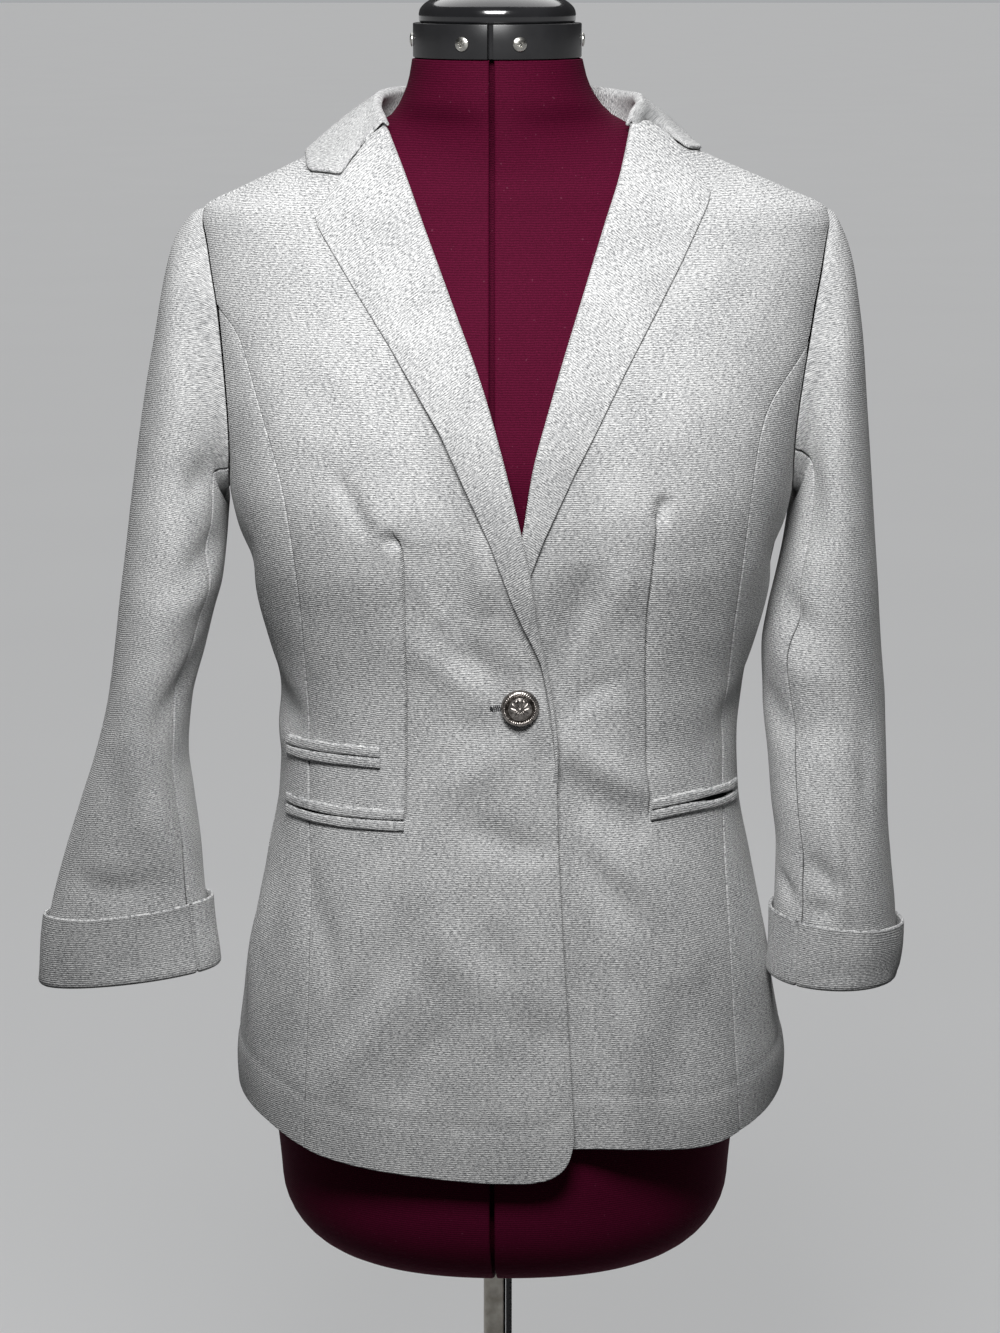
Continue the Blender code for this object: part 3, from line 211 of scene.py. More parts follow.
# Collar, from the back middle to the gorge on each side: the angle of its foot on the neck edge,
# the ridge of the fold, and the angle and height of the outer edge on the body.
COLLAR_COLUMNS = ("foot_angle", "ridge_x", "ridge_y", "ridge_z", "edge_angle", "edge_z")
COLLAR_RIGHT = np.array([
    (180.0, 0.0045, 0.0790, 1.3605, 180.0, 1.3050),
    (160.0, -0.0280, 0.0755, 1.3600, 158.0, 1.3060),
    (140.0, -0.0530, 0.0620, 1.3585, 136.0, 1.3085),
    (120.0, -0.0692, 0.0430, 1.3575, 114.0, 1.3135),
    (100.0, -0.0765, 0.0230, 1.3553, 96.0, 1.3175),
    (84.0, -0.0775, 0.0080, 1.3503, 81.0, 1.3165),
    (70.0, -0.0745, -0.0060, 1.3440, 66.0, 1.3110),
    (58.0, -0.0720, -0.0150, 1.3395, 54.0, 1.3062),
])
COLLAR_LEFT = np.array([
    (180.0, 0.0045, 0.0790, 1.3605, 180.0, 1.3050),
    (160.0, 0.0370, 0.0755, 1.3600, 158.0, 1.3060),
    (140.0, 0.0640, 0.0620, 1.3572, 138.0, 1.3085),
    (121.0, 0.0825, 0.0440, 1.3553, 120.0, 1.3130),
    (104.0, 0.0905, 0.0260, 1.3550, 107.0, 1.3175),
    (91.0, 0.0920, 0.0120, 1.3522, 98.0, 1.3200),
    (79.0, 0.0880, 0.0010, 1.3468, 87.0, 1.3195),
    (68.0, 0.0848, -0.0078, 1.3394, 78.0, 1.3190),
])
# The collar's end, from the ridge along the gorge to the notch and the tip, in x and z.
COLLAR_END_RIGHT = ((-0.0712, 1.3368), (-0.0800, 1.3300), (-0.0978, 1.3072), (-0.1168, 1.3082))
COLLAR_END_LEFT = ((0.0858, 1.3388), (0.0895, 1.3397), (0.0950, 1.3391), (0.1027, 1.3347),
                   (0.1110, 1.3280), (0.1172, 1.3218), (0.1288, 1.3202))
# Pocket welts: x of the ends, then the heights of the slit at the ends and middle.
WELT = 0.0062
SLIT = 0.0012
POCKETS = {
    "ticket": (-0.1350, -0.0740, 0.9415, 0.9445, 0.9455),
    "pocket_right": (-0.1365, -0.0590, 0.9030, 0.9045, 0.9062),
    "pocket_left": (0.0980, 0.1560, 0.9105, 0.9120, 0.9085),
}
SEAM_GAP = 0.00030  # fine pieces stop this far short of their seams


# ---- curves and surfaces ----
def unit(vectors):
    return vectors / np.linalg.norm(vectors, axis=-1, keepdims=True)


def signed_power(value, power):
    return np.sign(value) * np.abs(value) ** power


def travelled(points, axis=0):
    """Distance covered along this axis of a grid of points, from 0 at its start."""
    steps = np.linalg.norm(np.diff(points, axis=axis), axis=-1)
    return np.concatenate([0 * steps.take([0], axis), np.cumsum(steps, axis)], axis)


def eased(s, step, first, last, first_slope, last_slope):
    """The cubic with these values and slopes at its ends, at share s of a step."""
    return ((1 + 2 * s) * (1 - s) ** 2 * first + s * (1 - s) ** 2 * step * first_slope
            + s * s * (3 - 2 * s) * last + s * s * (s - 1) * step * last_slope)


def by_row(table):
    """The table with its rows' numbers as a first column."""
    return np.column_stack([np.arange(len(table)), table])


def curve(table, column, at):
    """A smooth curve through the table's column, with no overshoot."""
    knots = table[:, 0]
    values = table[:, column]
    at = np.clip(np.asarray(at, float), knots[0], knots[-1])
    step = np.diff(knots)
    rise = np.diff(values) / step
    slope = np.zeros(len(knots))
    near = 2 * step[1:] + step[:-1]
    far = step[1:] + 2 * step[:-1]
    same = rise[1:] * rise[:-1] > 0
    safe_left = np.where(same, rise[:-1], 1.0)
    safe_right = np.where(same, rise[1:], 1.0)
    slope[1:-1] = np.where(same, (near + far) / (near / safe_left + far / safe_right), 0.0)
    slope[0] = rise[0]
    slope[-1] = rise[-1]
    i = np.clip(np.searchsorted(knots, at, side="right") - 1, 0, len(knots) - 2)
    s = (at - knots[i]) / step[i]
    return eased(s, step[i], values[i], values[i + 1], slope[i], slope[i + 1])


def section(table, angle, z):
    """A point at this angle from the front middle, on the section at this height."""
    angle = np.radians(np.asarray(angle, float))
    z = np.asarray(z, float) + 0 * angle
    angle = angle + 0 * z
    x0, half, y_side, y_front, y_back, sq_front, sq_back = (
        curve(table, k, z) for k in range(1, len(BODY_COLUMNS)))
    across = np.sin(angle)
    along = np.cos(angle)
    power = 2 / np.where(along >= 0, sq_front, sq_back)
    depth = np.where(along >= 0, y_side - y_front, y_back - y_side)
    x = x0 + half * signed_power(across, power)
    y = y_side - depth * signed_power(along, power)
    return np.stack([x, y, z], -1)


def facing(table, angle, z):
    """The outward direction of the surface there."""
    turn, rise = 0.4, 0.0015
    side = section(table, angle + turn, z) - section(table, angle - turn, z)
    up = section(table, angle, z + rise) - section(table, angle, z - rise)
    return unit(np.cross(side, up))


def body(angle, z, out):
    """A point of the jacket's surface, moved out."""
    angle = np.asarray(angle, float) + 0 * np.asarray(z, float)
    z = np.asarray(z, float) + 0 * angle
    out = np.asarray(out, float) + 0 * angle
    return section(BODY, angle, z) + facing(BODY, angle, z) * out[..., None]


def angle_at(x, z):
    """The angle, on the front half, of the point at this x and height."""
    x0, half, square = (
        curve(BODY, BODY_COLUMNS.index(name), z) for name in ("x0", "half", "sq_front"))
    share = np.clip(np.abs(x - x0) / half, 0, 1)
    return np.degrees(np.arcsin(share ** (square / 2))) * np.sign(x - x0)


def smooth(value, low, high):
    """0 below low, 1 above high, and an even curve between."""
    s = np.clip((value - low) / (high - low), 0, 1)
    return s * s * (3 - 2 * s)


def underlap(x, z):
    """How far inside the jacket's surface the lower front lies here."""
    return -UNDERLAP * (1 - smooth(x, 0.052, 0.085)) * (1 - smooth(z, 1.105, 1.165))


def along_path(points, count, power=1.0):
    """Points spaced along a path with corners, closer at its start for a power over 1."""
    points = np.array(points, float)
    reach = travelled(points)
    at = reach[-1] * np.linspace(0, 1, count) ** power
    return np.stack([np.interp(at, reach, points[:, k]) for k in range(points.shape[1])], -1)


def armhole(around, side):
    """The armhole seam: 0 is the shoulder tip, 90 the front, 180 the underarm, 270 the back."""
    around = np.radians(np.asarray(around, float))
    power = 2 / ARMHOLE_SQUARE
    across = signed_power(np.sin(around), power)
    reach = np.where(across >= 0, ARMHOLE_FRONT, ARMHOLE_BACK)
    angle = 90 - reach * across
    z = ARMHOLE_Z + ARMHOLE_RISE * signed_power(np.cos(around), power)
    return section(BODY, side * angle, z)


def armhole_angle(z, reach):
    """Half the armhole's width in degrees at this height."""
    share = np.clip(np.abs(z - ARMHOLE_Z) / ARMHOLE_RISE, 0, 1)
    return reach * (1 - share ** ARMHOLE_SQUARE) ** (1 / ARMHOLE_SQUARE)


def level(z, angle, hems):
    """The real height of a row, which follows the hem near the foot."""
    hem = curve(hems, 1, angle)
    return np.where(z < HEM_BLEND, HEM_BLEND - (HEM_BLEND - z) * (HEM_BLEND - hem)
                    / (HEM_BLEND - HEM), z)


def sleeve_ring(table, place, around, side):
    """Points round the sleeve at this place along its table."""
    indexed = by_row(table)
    x_out, z_out, x_in, z_in, y_mid, depth = (
        curve(indexed, k + 1, place) for k in range(len(SLEEVE_COLUMNS)))
    middle = np.array([(x_out + x_in) / 2, y_mid, (z_out + z_in) / 2])
    arm = np.array([(x_out - x_in) / 2, 0, (z_out - z_in) / 2])
    seam = armhole(around, side)
    across = (ARMHOLE_Y - seam[..., 1]) / ARMHOLE_REACH
    up = (seam[..., 2] - ARMHOLE_Z) / ARMHOLE_RISE
    turn = (np.degrees(np.arctan2(across, up)) - around + 180) % 360 - 180
    angle = np.radians(around + turn * (1 - smooth(place, 0.0, 9.0)))
    tube = (middle + np.cos(angle)[..., None] * arm
            + np.sin(angle)[..., None] * np.array([0, -depth, 0]))
    held = 1 - smooth(place, 0.0, 3.5)
    start = np.array([table[0, 0] + table[0, 2], 2 * table[0, 4], table[0, 1] + table[0, 3]]) / 2
    return tube * (1 - held) + (seam + middle - start) * held


def place_round(z):
    """Where round the armhole the seam has this height, from 0 at the tip to 180."""
    share = (z - ARMHOLE_Z) / ARMHOLE_RISE
    return math.degrees(math.acos(math.copysign(abs(share) ** (ARMHOLE_SQUARE / 2), share)))


def lifted(flat, out):
    """Points given in x and z, lifted on to the front and moved out."""
    x, z = flat[..., 0], flat[..., 1]
    return body(angle_at(x, z), z, out)


def collar_side(table, end, side, stations):
    """Middle lines of the collar's sheet, from the neck seam over the ridge to the outer edge."""
    indexed = by_row(table)
    last = len(table) - 1
    half_fold = 0.0030
    off = LAY + COLLAR_LIFT + CLOTH / 2
    tip = lifted(along_path(end, 7), off)
    up = np.array([0, 0, 1.0])
    lines = []
    for place in stations:
        foot_angle, x, y, z, angle, edge_z = (
            float(curve(indexed, k + 1, place)) for k in range(len(COLLAR_COLUMNS)))
        ridge = np.array([x, y, z])
        edge = body(side * angle, edge_z, off)
        out = unit((edge - ridge) * (1, 1, 0))
        foot = section(BODY, side * foot_angle, NECK_EDGE) + up * 0.0012 - out * 0.0010
        before = ridge - out * half_fold - up * 0.0022
        after = ridge + out * half_fold - up * 0.0022
        near_end = float(smooth(place, last - 2.4, last))
        bulge = (up * 0.0036 + out * 0.001) * (1 - 0.8 * smooth(place, 2.0, 5.0))
        fall = []
        for k, share in enumerate((0, 0.2, 0.4, 0.6, 0.8, 1.0)):
            plain = after + (edge - after) * share + bulge * 4 * share * (1 - share)
            if k:
                plain = plain * (1 - near_end) + tip[k + 1] * near_end
            fall.append(plain)
        lines.append(np.array([foot, foot * 0.5 + before * 0.5, before, ridge] + fall))
    return lines


def front_of(table, x, z):
    """The point of the section's front half at this x."""
    x0, half, y_side, y_front, square = (
        float(curve(table, BODY_COLUMNS.index(name), z))
        for name in ("x0", "half", "y_side", "y_front", "sq_front"))
    share = min(abs(x - x0) / half, 1)
    return np.array([x, y_side - (y_side - y_front) * (1 - share ** square) ** (1 / square), z])


# ---- meshes ----
EDGE_STEPS = np.array((0, 0.00004, 0.00016, 0.00038, 0.00068, 0.00105, 0.0018, 0.0030, 0.0050,
                       0.0078))  # distances from an edge of the rows or columns beside it
FAR = 9.0  # further than any point is from a crease


def shown(name, data):
    """A new object in the scene."""
    made = bpy.data.objects.new(name, data)
    bpy.context.scene.collection.objects.link(made)
    return made


def mesh_object(name, points, faces, uvs, finish, smooth_over=60.0):
    """An object from points in the tables' frame, with one texture place per point in metres."""
    mesh = bpy.data.meshes.new(name)
    points = np.asarray(points, float) + (MIDDLE_X, 0, 0)
    mesh.from_pydata(points.tolist(), [], [list(face) for face in faces])
    mesh.shade_smooth()
    mesh.set_sharp_from_angle(angle=math.radians(smooth_over))
    if uvs is not None:
        corner = np.empty(len(mesh.loops), np.int32)
        mesh.loops.foreach_get("vertex_index", corner)
        layer = mesh.uv_layers.new(name="UVMap")
        layer.data.foreach_set("uv", np.asarray(uvs, np.float32)[corner].ravel())
    mesh.materials.append(finish)
    return shown(name, mesh)


def mesh_from(name, points, faces, finish, smooth_over=35.0):
    """A closed piece from points and faces in any order, cleaned and turned outward."""
    made = mesh_object(name, points, faces, None, finish, smooth_over)
    work = bmesh.new()
    work.from_mesh(made.data)
    bmesh.ops.delete(work, geom=[v for v in work.verts if not v.link_faces], context="VERTS")
    bmesh.ops.recalc_face_normals(work, faces=work.faces)
    if work.calc_volume(signed=True) < 0:
        bmesh.ops.reverse_faces(work, faces=work.faces)
    work.to_mesh(made.data)
    work.free()
    made.data.shade_smooth()
    made.data.set_sharp_from_angle(angle=math.radians(smooth_over))
    return made


def place_piece(made, slot, *nodes):
    """Fixes a finished piece to the model, in place of the nodes it stands for."""
    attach(made, "root")
    if nodes:
        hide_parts(*nodes)


def tube_faces(rings, count, tips=(), capped=()):
    """Faces of a tube through closed rings of count points. A ring in tips is only its first
    point. The first and last rings are filled where capped names them as 0 and -1."""
    index = np.arange(rings * count).reshape(rings, count)
    after = np.roll(index, -1, axis=1)
    faces = []
    for i in range(rings - 1):
        for a, b, c, d in zip(index[i], after[i], after[i + 1], index[i + 1]):
            if i in tips:
                faces.append((index[i, 0], c, d))
            elif i + 1 in tips:
                faces.append((a, b, index[i + 1, 0]))
            else:
                faces.append((a, b, c, d))
    return faces + [index[end][::1 if end else -1] for end in capped]


def volume_of(points, faces):
    """A number whose sign says which way four-sided faces are turned."""
    a, b, c, d = (points[faces[:, k]] for k in range(4))
    return (np.einsum("ij,ij->i", a, np.cross(b, c)).sum()
            + np.einsum("ij,ij->i", a, np.cross(c, d)).sum())


def cloth_wall(name, outer, inner, uv, finish, closed=False, hole=None):
    """A closed wall of cloth between two grids of points, with an optional hole in it. The last
    column of a grid that closes on itself repeats its first, and is left out."""
    if closed:
        outer, inner, uv = outer[:, :-1], inner[:, :-1], uv[:, :-1]
    rows, columns = outer.shape[:2]
    spans = columns if closed else columns - 1
    kept = np.ones((rows - 1, spans), bool) if hole is None else ~hole
    index = np.arange(rows * columns).reshape(rows, columns)
    index = np.concatenate([index, index[:, :1]], 1) if closed else index
    other = rows * columns
    a, b, c, d = index[:-1, :-1], index[:-1, 1:], index[1:, 1:], index[1:, :-1]
    faces = [np.stack([a, b, c, d], -1)[kept], np.stack([a, d, c, b], -1)[kept] + other]
    # A rim joins the layers wherever a kept cell has no kept neighbour.
    padded = np.zeros((rows + 1, spans + 2), bool)
    padded[1:-1, 1:-1] = kept
    if closed:
        padded[:, 0] = padded[:, -2]
        padded[:, -1] = padded[:, 1]
    for beside, first, second in ((padded[:-2, 1:-1], a, b), (padded[2:, 1:-1], c, d),
                                  (padded[1:-1, :-2], d, a), (padded[1:-1, 2:], b, c)):
        open_side = kept & ~beside
        p, q = first[open_side], second[open_side]
        faces.append(np.stack([q, p, p + other, q + other], -1))
    faces = np.concatenate(faces)
    points = np.concatenate([outer.reshape(-1, 3), inner.reshape(-1, 3)])
    if volume_of(points, faces) < 0:
        faces = faces[:, ::-1]
    uvs = np.concatenate([uv.reshape(-1, 2)] * 2)
    used = np.zeros(len(points), bool)
    used[faces.ravel()] = True
    renumber = np.cumsum(used) - 1
    return mesh_object(name, points[used], renumber[faces], uvs[used], finish)


def declare_cloth(grid):
    """Measures the length and width of a piece's cut over its own surface."""
    long = np.linalg.norm(np.diff(grid, axis=1), axis=2).sum(1).max()
    wide = np.linalg.norm(np.diff(grid, axis=0), axis=2).sum(0).max()


def cloth_piece(name, nodes, outer, inner, uv, finish, grid, held, rests_on, **shape):
    """A wall of cloth, fixed to the model, with its cut measured on this grid."""
    made = cloth_wall(name, outer, inner, uv, finish, **shape)
    place_piece(made, "grey_knit", *nodes)
    declare_cloth(grid)


def raised(base, out, height):
    """A grid of points moved out by a height at each."""
    return base + out * height[..., None]


def bell(value, width):
    """1 at no value, and soon 0 past the width."""
    return np.exp(-(value / width) ** 2)


def bead(distance, radius):
    """How far a rounded edge has dropped at this distance from it."""
    inside = np.clip(radius - distance, 0, radius)
    return radius - np.sqrt(np.maximum(radius ** 2 - inside ** 2, 0))


def spaced(ends, step):
    """Distances along rows whose guides lie at these distances: close beside a guide, even
    between. ends has a row for each row of the grid and a column for each guide."""
    parts = []
    reach = EDGE_STEPS[-1]
    for k in range(ends.shape[1] - 1):
        width = ends[:, k + 1] - ends[:, k]
        scale = np.clip(width / (2.3 * reach), 0.0005, 1)[:, None]
        near = EDGE_STEPS[None] * scale
        count = max(int(round((width.max() - 2 * reach) / step)), 2)
        even = np.linspace(0, 1, count + 1)[None, 1:-1]
        low, high = near[:, -1:], width[:, None] - near[:, -1:]
        middle = low + (high - low) * even
        part = np.concatenate([near, middle, width[:, None] - near[:, ::-1]], 1)
        part = part + ends[:, k:k + 1]
        parts.append(part if k == 0 else part[:, 1:])
    return np.concatenate(parts, 1)


def creases(points, table):
    """The height that the troughs and ridges of a table add at these points.
    Each crease is (depth, width, path): depth is below zero for a trough."""
    flat = points.reshape(-1, 3)
    total = np.zeros(len(flat))
    for depth, width, path in table:
        near = np.flatnonzero(np.all((flat > path.min(0) - 3 * width)
                                     & (flat < path.max(0) + 3 * width), axis=1))
        if not len(near):
            continue
        p = flat[near]
        starts = travelled(path)
        best = np.full(len(p), FAR)
        where = np.zeros(len(p))
        for k, length in enumerate(np.linalg.norm(np.diff(path, axis=0), axis=1)):
            way = (path[k + 1] - path[k]) / length
            along = np.clip((p - path[k]) @ way, 0, length)
            away = np.linalg.norm(p - path[k] - along[:, None] * way, axis=1)
            closer = away < best
            best = np.where(closer, away, best)
            where = np.where(closer, (starts[k] + along) / starts[-1], where)
        taper = np.sin(np.pi * np.clip(0.04 + 0.92 * where, 0, 1)) ** 0.8
        total[near] += depth * bell(best, width) * taper
    return total.reshape(points.shape[:-1])


def ripple(points, height, seed):
    """Slow unevenness of hung cloth."""
    x, y, z = points[..., 0], points[..., 1], points[..., 2]
    total = 0
    for k in range(1, 6):
        a, b, c = np.sin(seed * 1.7 + k * 2.3), np.cos(seed * 2.9 + k * 1.1), np.sin(seed + k * 4.7)
        wave = 38 * (a * x + b * y) * (0.7 + 0.25 * k) + 17 * c * z * k + 2.1 * k + seed
        total = total + np.sin(wave) / k
    return total * height / 2


def laid(path_of, rows):
    """Creases as (depth, width, path), from rows of depth, width and the path's places."""
    return [(depth, width, path_of(places)) for depth, width, *places in rows]


# ---- body of the jacket ----
SEAM_BEAD = 0.0009  # the outer side of a seamed edge rolls down by this radius
FREE_BEAD = CLOTH / 2 - 0.00005  # a free edge is round
SEAM_HOLLOW = 0.0005  # the cloth is drawn in this far at a seam
SEAM_HOLLOW_WIDTH = 0.0055
HEM_DEEP = 0.036  # the turned hem ends this far up, as a faint line
HEM_LINE = 0.0005
STEP = 0.0028  # grid step of the body's cloth
SEAM_PAST = 0.05  # degrees by which a seam's end passes the armhole
TUCK = 0.0026  # each front's edge lies this far inside its lapel's roll
TUCK_FOOT = {"right": 0.928, "left": 1.066}  # height where that starts
DART_WIDTH = 0.0007
DART_DEPTH = 0.0030
DART_STEP = 0.0006  # the dart's outer side lies this much lower
DART_HOLLOW = 0.0009
DART_FOOT = 0.905  # the darts start here, at the pockets
POCKET_HALF = 0.0024  # half height of the opening behind the welts
FOLD = 1.4  # all creases' depths times this
BODY_RIPPLE = 0.0006
BODY_SEED = {-1: 0.3, 1: 0.8}  # of the unevenness, for each side's front panel
# The waist darts, height against x, from the pocket up to the tip.
DART_RIGHT = np.array([(0.690, -0.0600), (0.900, -0.0592), (0.920, -0.0585), (0.994, -0.0579),
                       (1.037, -0.0586), (1.073, -0.0587), (1.087, -0.0606), (1.093, -0.0645)])
DART_LEFT = np.array([(0.690, 0.0990), (0.904, 0.0979), (0.919, 0.0975), (0.939, 0.0957),
                      (0.971, 0.0950), (1.003, 0.0940), (1.036, 0.0939), (1.065, 0.0964),
                      (1.092, 0.0984), (1.108, 0.0992)])


def on_front(places):
    """A path over the front, given in x and z."""
    x, z = np.array(places, float).T
    return section(BODY, angle_at(x, z), z)


def round_body(places):
    """A path over the body, given as the angle from the front middle and z."""
    return section(BODY, *np.array(places, float).T)


# Depth and width of each crease, then its path. A depth below zero is a trough.
CREASES_RIGHT = laid(on_front, [
    (-0.0024, 0.0065, (-0.102, 1.131), (-0.092, 1.117), (-0.087, 1.106), (-0.078, 1.090)),
    (0.0010, 0.0070, (-0.078, 1.112), (-0.070, 1.098), (-0.064, 1.080)),
    (-0.0030, 0.0050, (-0.069, 1.095), (-0.065, 1.090), (-0.061, 1.085)),
    (-0.0056, 0.0190, (-0.063, 1.190), (-0.044, 1.147), (-0.034, 1.117), (-0.029, 1.089),
     (-0.025, 1.060), (-0.018, 1.030)),
    (-0.0024, 0.0260, (-0.036, 1.090), (-0.036, 1.050), (-0.028, 1.020)),
    (0.0030, 0.0090, (-0.012, 1.098), (-0.010, 1.070), (-0.010, 1.040)),
    (0.0006, 0.0040, (-0.055, 1.070), (-0.042, 1.048), (-0.028, 1.026), (-0.016, 1.010)),
    (-0.0030, 0.0120, (-0.038, 1.036), (-0.022, 1.016), (-0.008, 1.004), (0.006, 0.996)),
    (0.0011, 0.0090, (-0.056, 1.020), (-0.036, 1.006), (-0.017, 0.994), (-0.001, 0.984)),
    (-0.0010, 0.0070, (0.006, 1.050), (0.014, 1.030), (0.021, 1.006), (0.026, 0.985)),
    (0.0013, 0.0060, (0.022, 0.996), (0.024, 0.970), (0.025, 0.945)),
    (-0.0012, 0.0110, (-0.045, 0.976), (-0.020, 0.968), (0.002, 0.968)),
    (0.0016, 0.0120, (-0.040, 0.925), (-0.010, 0.940), (0.016, 0.962)),
    (-0.0026, 0.0110, (-0.022, 0.906), (0.012, 0.889), (0.037, 0.889)),
    (0.0030, 0.0160, (-0.050, 0.872), (-0.030, 0.822), (0.010, 0.792), (0.036, 0.784)),
    (-0.0034, 0.0170, (-0.012, 0.840), (0.008, 0.800), (0.020, 0.768), (0.012, 0.730)),
    (-0.0028, 0.0130, (-0.062, 0.842), (-0.078, 0.800), (-0.098, 0.764), (-0.112, 0.745)),
    (0.0026, 0.0130, (-0.052, 0.806), (-0.074, 0.786), (-0.098, 0.745), (-0.108, 0.722)),
    (-0.0022, 0.0100, (-0.036, 0.776), (-0.052, 0.752), (-0.060, 0.718)),
    (-0.0020, 0.0110, (-0.124, 0.870), (-0.112, 0.826), (-0.106, 0.790)),
])
CREASES_LEFT = laid(on_front, [
    (-0.0032, 0.0055, (0.1035, 1.118), (0.1025, 1.111), (0.0995, 1.101)),
    (0.0012, 0.0060, (0.092, 1.112), (0.094, 1.098), (0.094, 1.084)),
    (-0.0046, 0.0190, (0.054, 1.075), (0.053, 1.040), (0.050, 1.010), (0.046, 0.980)),
    (0.0018, 0.0090, (0.046, 0.994), (0.058, 1.022), (0.072, 1.050), (0.082, 1.074)),
    (-0.0020, 0.0080, (0.044, 0.976), (0.060, 0.986), (0.078, 1.002)),
    (0.0026, 0.0120, (0.038, 0.962), (0.059, 0.944), (0.081, 0.929), (0.103, 0.921)),
    (-0.0040, 0.0150, (0.040, 0.942), (0.060, 0.922), (0.082, 0.903), (0.098, 0.894)),
    (0.0018, 0.0090, (0.052, 0.905), (0.072, 0.878), (0.094, 0.858)),
    (-0.0030, 0.0120, (0.047, 0.921), (0.060, 0.882), (0.078, 0.850), (0.096, 0.830)),
    (0.0020, 0.0140, (0.100, 0.880), (0.116, 0.838), (0.128, 0.790)),
    (-0.0030, 0.0130, (0.050, 0.840), (0.057, 0.800), (0.066, 0.752), (0.066, 0.720)),
    (0.0016, 0.0110, (0.078, 0.800), (0.088, 0.756), (0.094, 0.718)),
    (-0.0018, 0.0110, (0.112, 0.800), (0.118, 0.760), (0.124, 0.724)),
])
CREASES_SIDE = laid(round_body, [
    (-0.0026, 0.0140, (-88, 0.985), (-72, 0.968), (-58, 0.962)),
    (0.0016, 0.0120, (-96, 0.960), (-80, 0.944), (-66, 0.940)),
    (-0.0024, 0.0150, (-100, 0.850), (-86, 0.800), (-78, 0.750)),
    (0.0022, 0.0150, (-70, 0.860), (-74, 0.800), (-70, 0.740)),
    (-0.0026, 0.0140, (88, 0.990), (74, 0.970), (60, 0.958)),
    (-0.0028, 0.0160, (98, 0.850), (88, 0.800), (82, 0.740)),
    (0.0022, 0.0160, (70, 0.860), (74, 0.800), (70, 0.740)),
    (-0.0030, 0.0150, (66, 1.085), (78, 1.068), (92, 1.058)),
    (-0.0028, 0.0150, (-66, 1.082), (-80, 1.062), (-94, 1.052)),
])
CREASES_BACK = laid(round_body, [
    (-0.0030, 0.0150, (-170, 0.985), (-150, 0.972), (-128, 0.980), (-108, 1.000)),
    (0.0022, 0.0130, (-172, 0.962), (-150, 0.946), (-126, 0.950)),
    (-0.0026, 0.0140, (168, 0.978), (148, 0.966), (126, 0.974), (108, 0.996)),
    (0.0020, 0.0130, (170, 0.954), (148, 0.940), (124, 0.944)),
    (-0.0024, 0.0140, (-152, 0.930), (-148, 0.860), (-152, 0.780)),
    (-0.0022, 0.0150, (150, 0.920), (154, 0.850), (150, 0.770)),
    (0.0022, 0.0160, (-170, 0.860), (-168, 0.790), (-172, 0.720)),
    (-0.0026, 0.0120, (112, 1.130), (126, 1.160), (136, 1.200), (140, 1.240)),
    (-0.0024, 0.0120, (-112, 1.128), (-128, 1.156), (-138, 1.198), (-142, 1.236)),
    (0.0018, 0.0130, (106, 1.080), (120, 1.110), (134, 1.150)),
    (0.0018, 0.0130, (-106, 1.080), (-122, 1.112), (-136, 1.150)),
    (-0.0016, 0.0100, (-150, 1.296), (-176, 1.290), (158, 1.296)),
])
# The creases that each front's side of the body has.
BODY_CREASES = {-1: CREASES_RIGHT + CREASES_SIDE + CREASES_BACK,
                1: CREASES_LEFT + CREASES_SIDE + CREASES_BACK}


def fine_rows(top):
    """Nominal row heights: close at the hem and the top, and even round the armhole."""
    low = np.concatenate([HEM + EDGE_STEPS,
                          np.arange(HEM + EDGE_STEPS[-1] + STEP, UNDERARM - 0.001, STEP)])
    around = np.radians(np.arange(180, -1, -3.0))
    arm = ARMHOLE_Z + ARMHOLE_RISE * signed_power(np.cos(around), 2 / ARMHOLE_SQUARE)
    high = np.concatenate([np.arange(SHOULDER_TIP + STEP, NECK_EDGE - EDGE_STEPS[-1], STEP),
                           (NECK_EDGE - EDGE_STEPS)[::-1]])
    rows = np.concatenate([low, arm, high])
    if top < NECK_EDGE:
        rows = np.concatenate([rows[rows < top - 0.0004], [top]])
    return rows


def below_neck(z):
    """1 on the body and 0 along the neck edge, where the creases end."""
    return 1 - smooth(z, NECK_EDGE - 0.050, NECK_EDGE - 0.010)


def on_body(x, z):
    """The front's surface and its outward direction at these x and heights."""
    angle = angle_at(x, z)
    return section(BODY, angle, z), facing(BODY, angle, z)


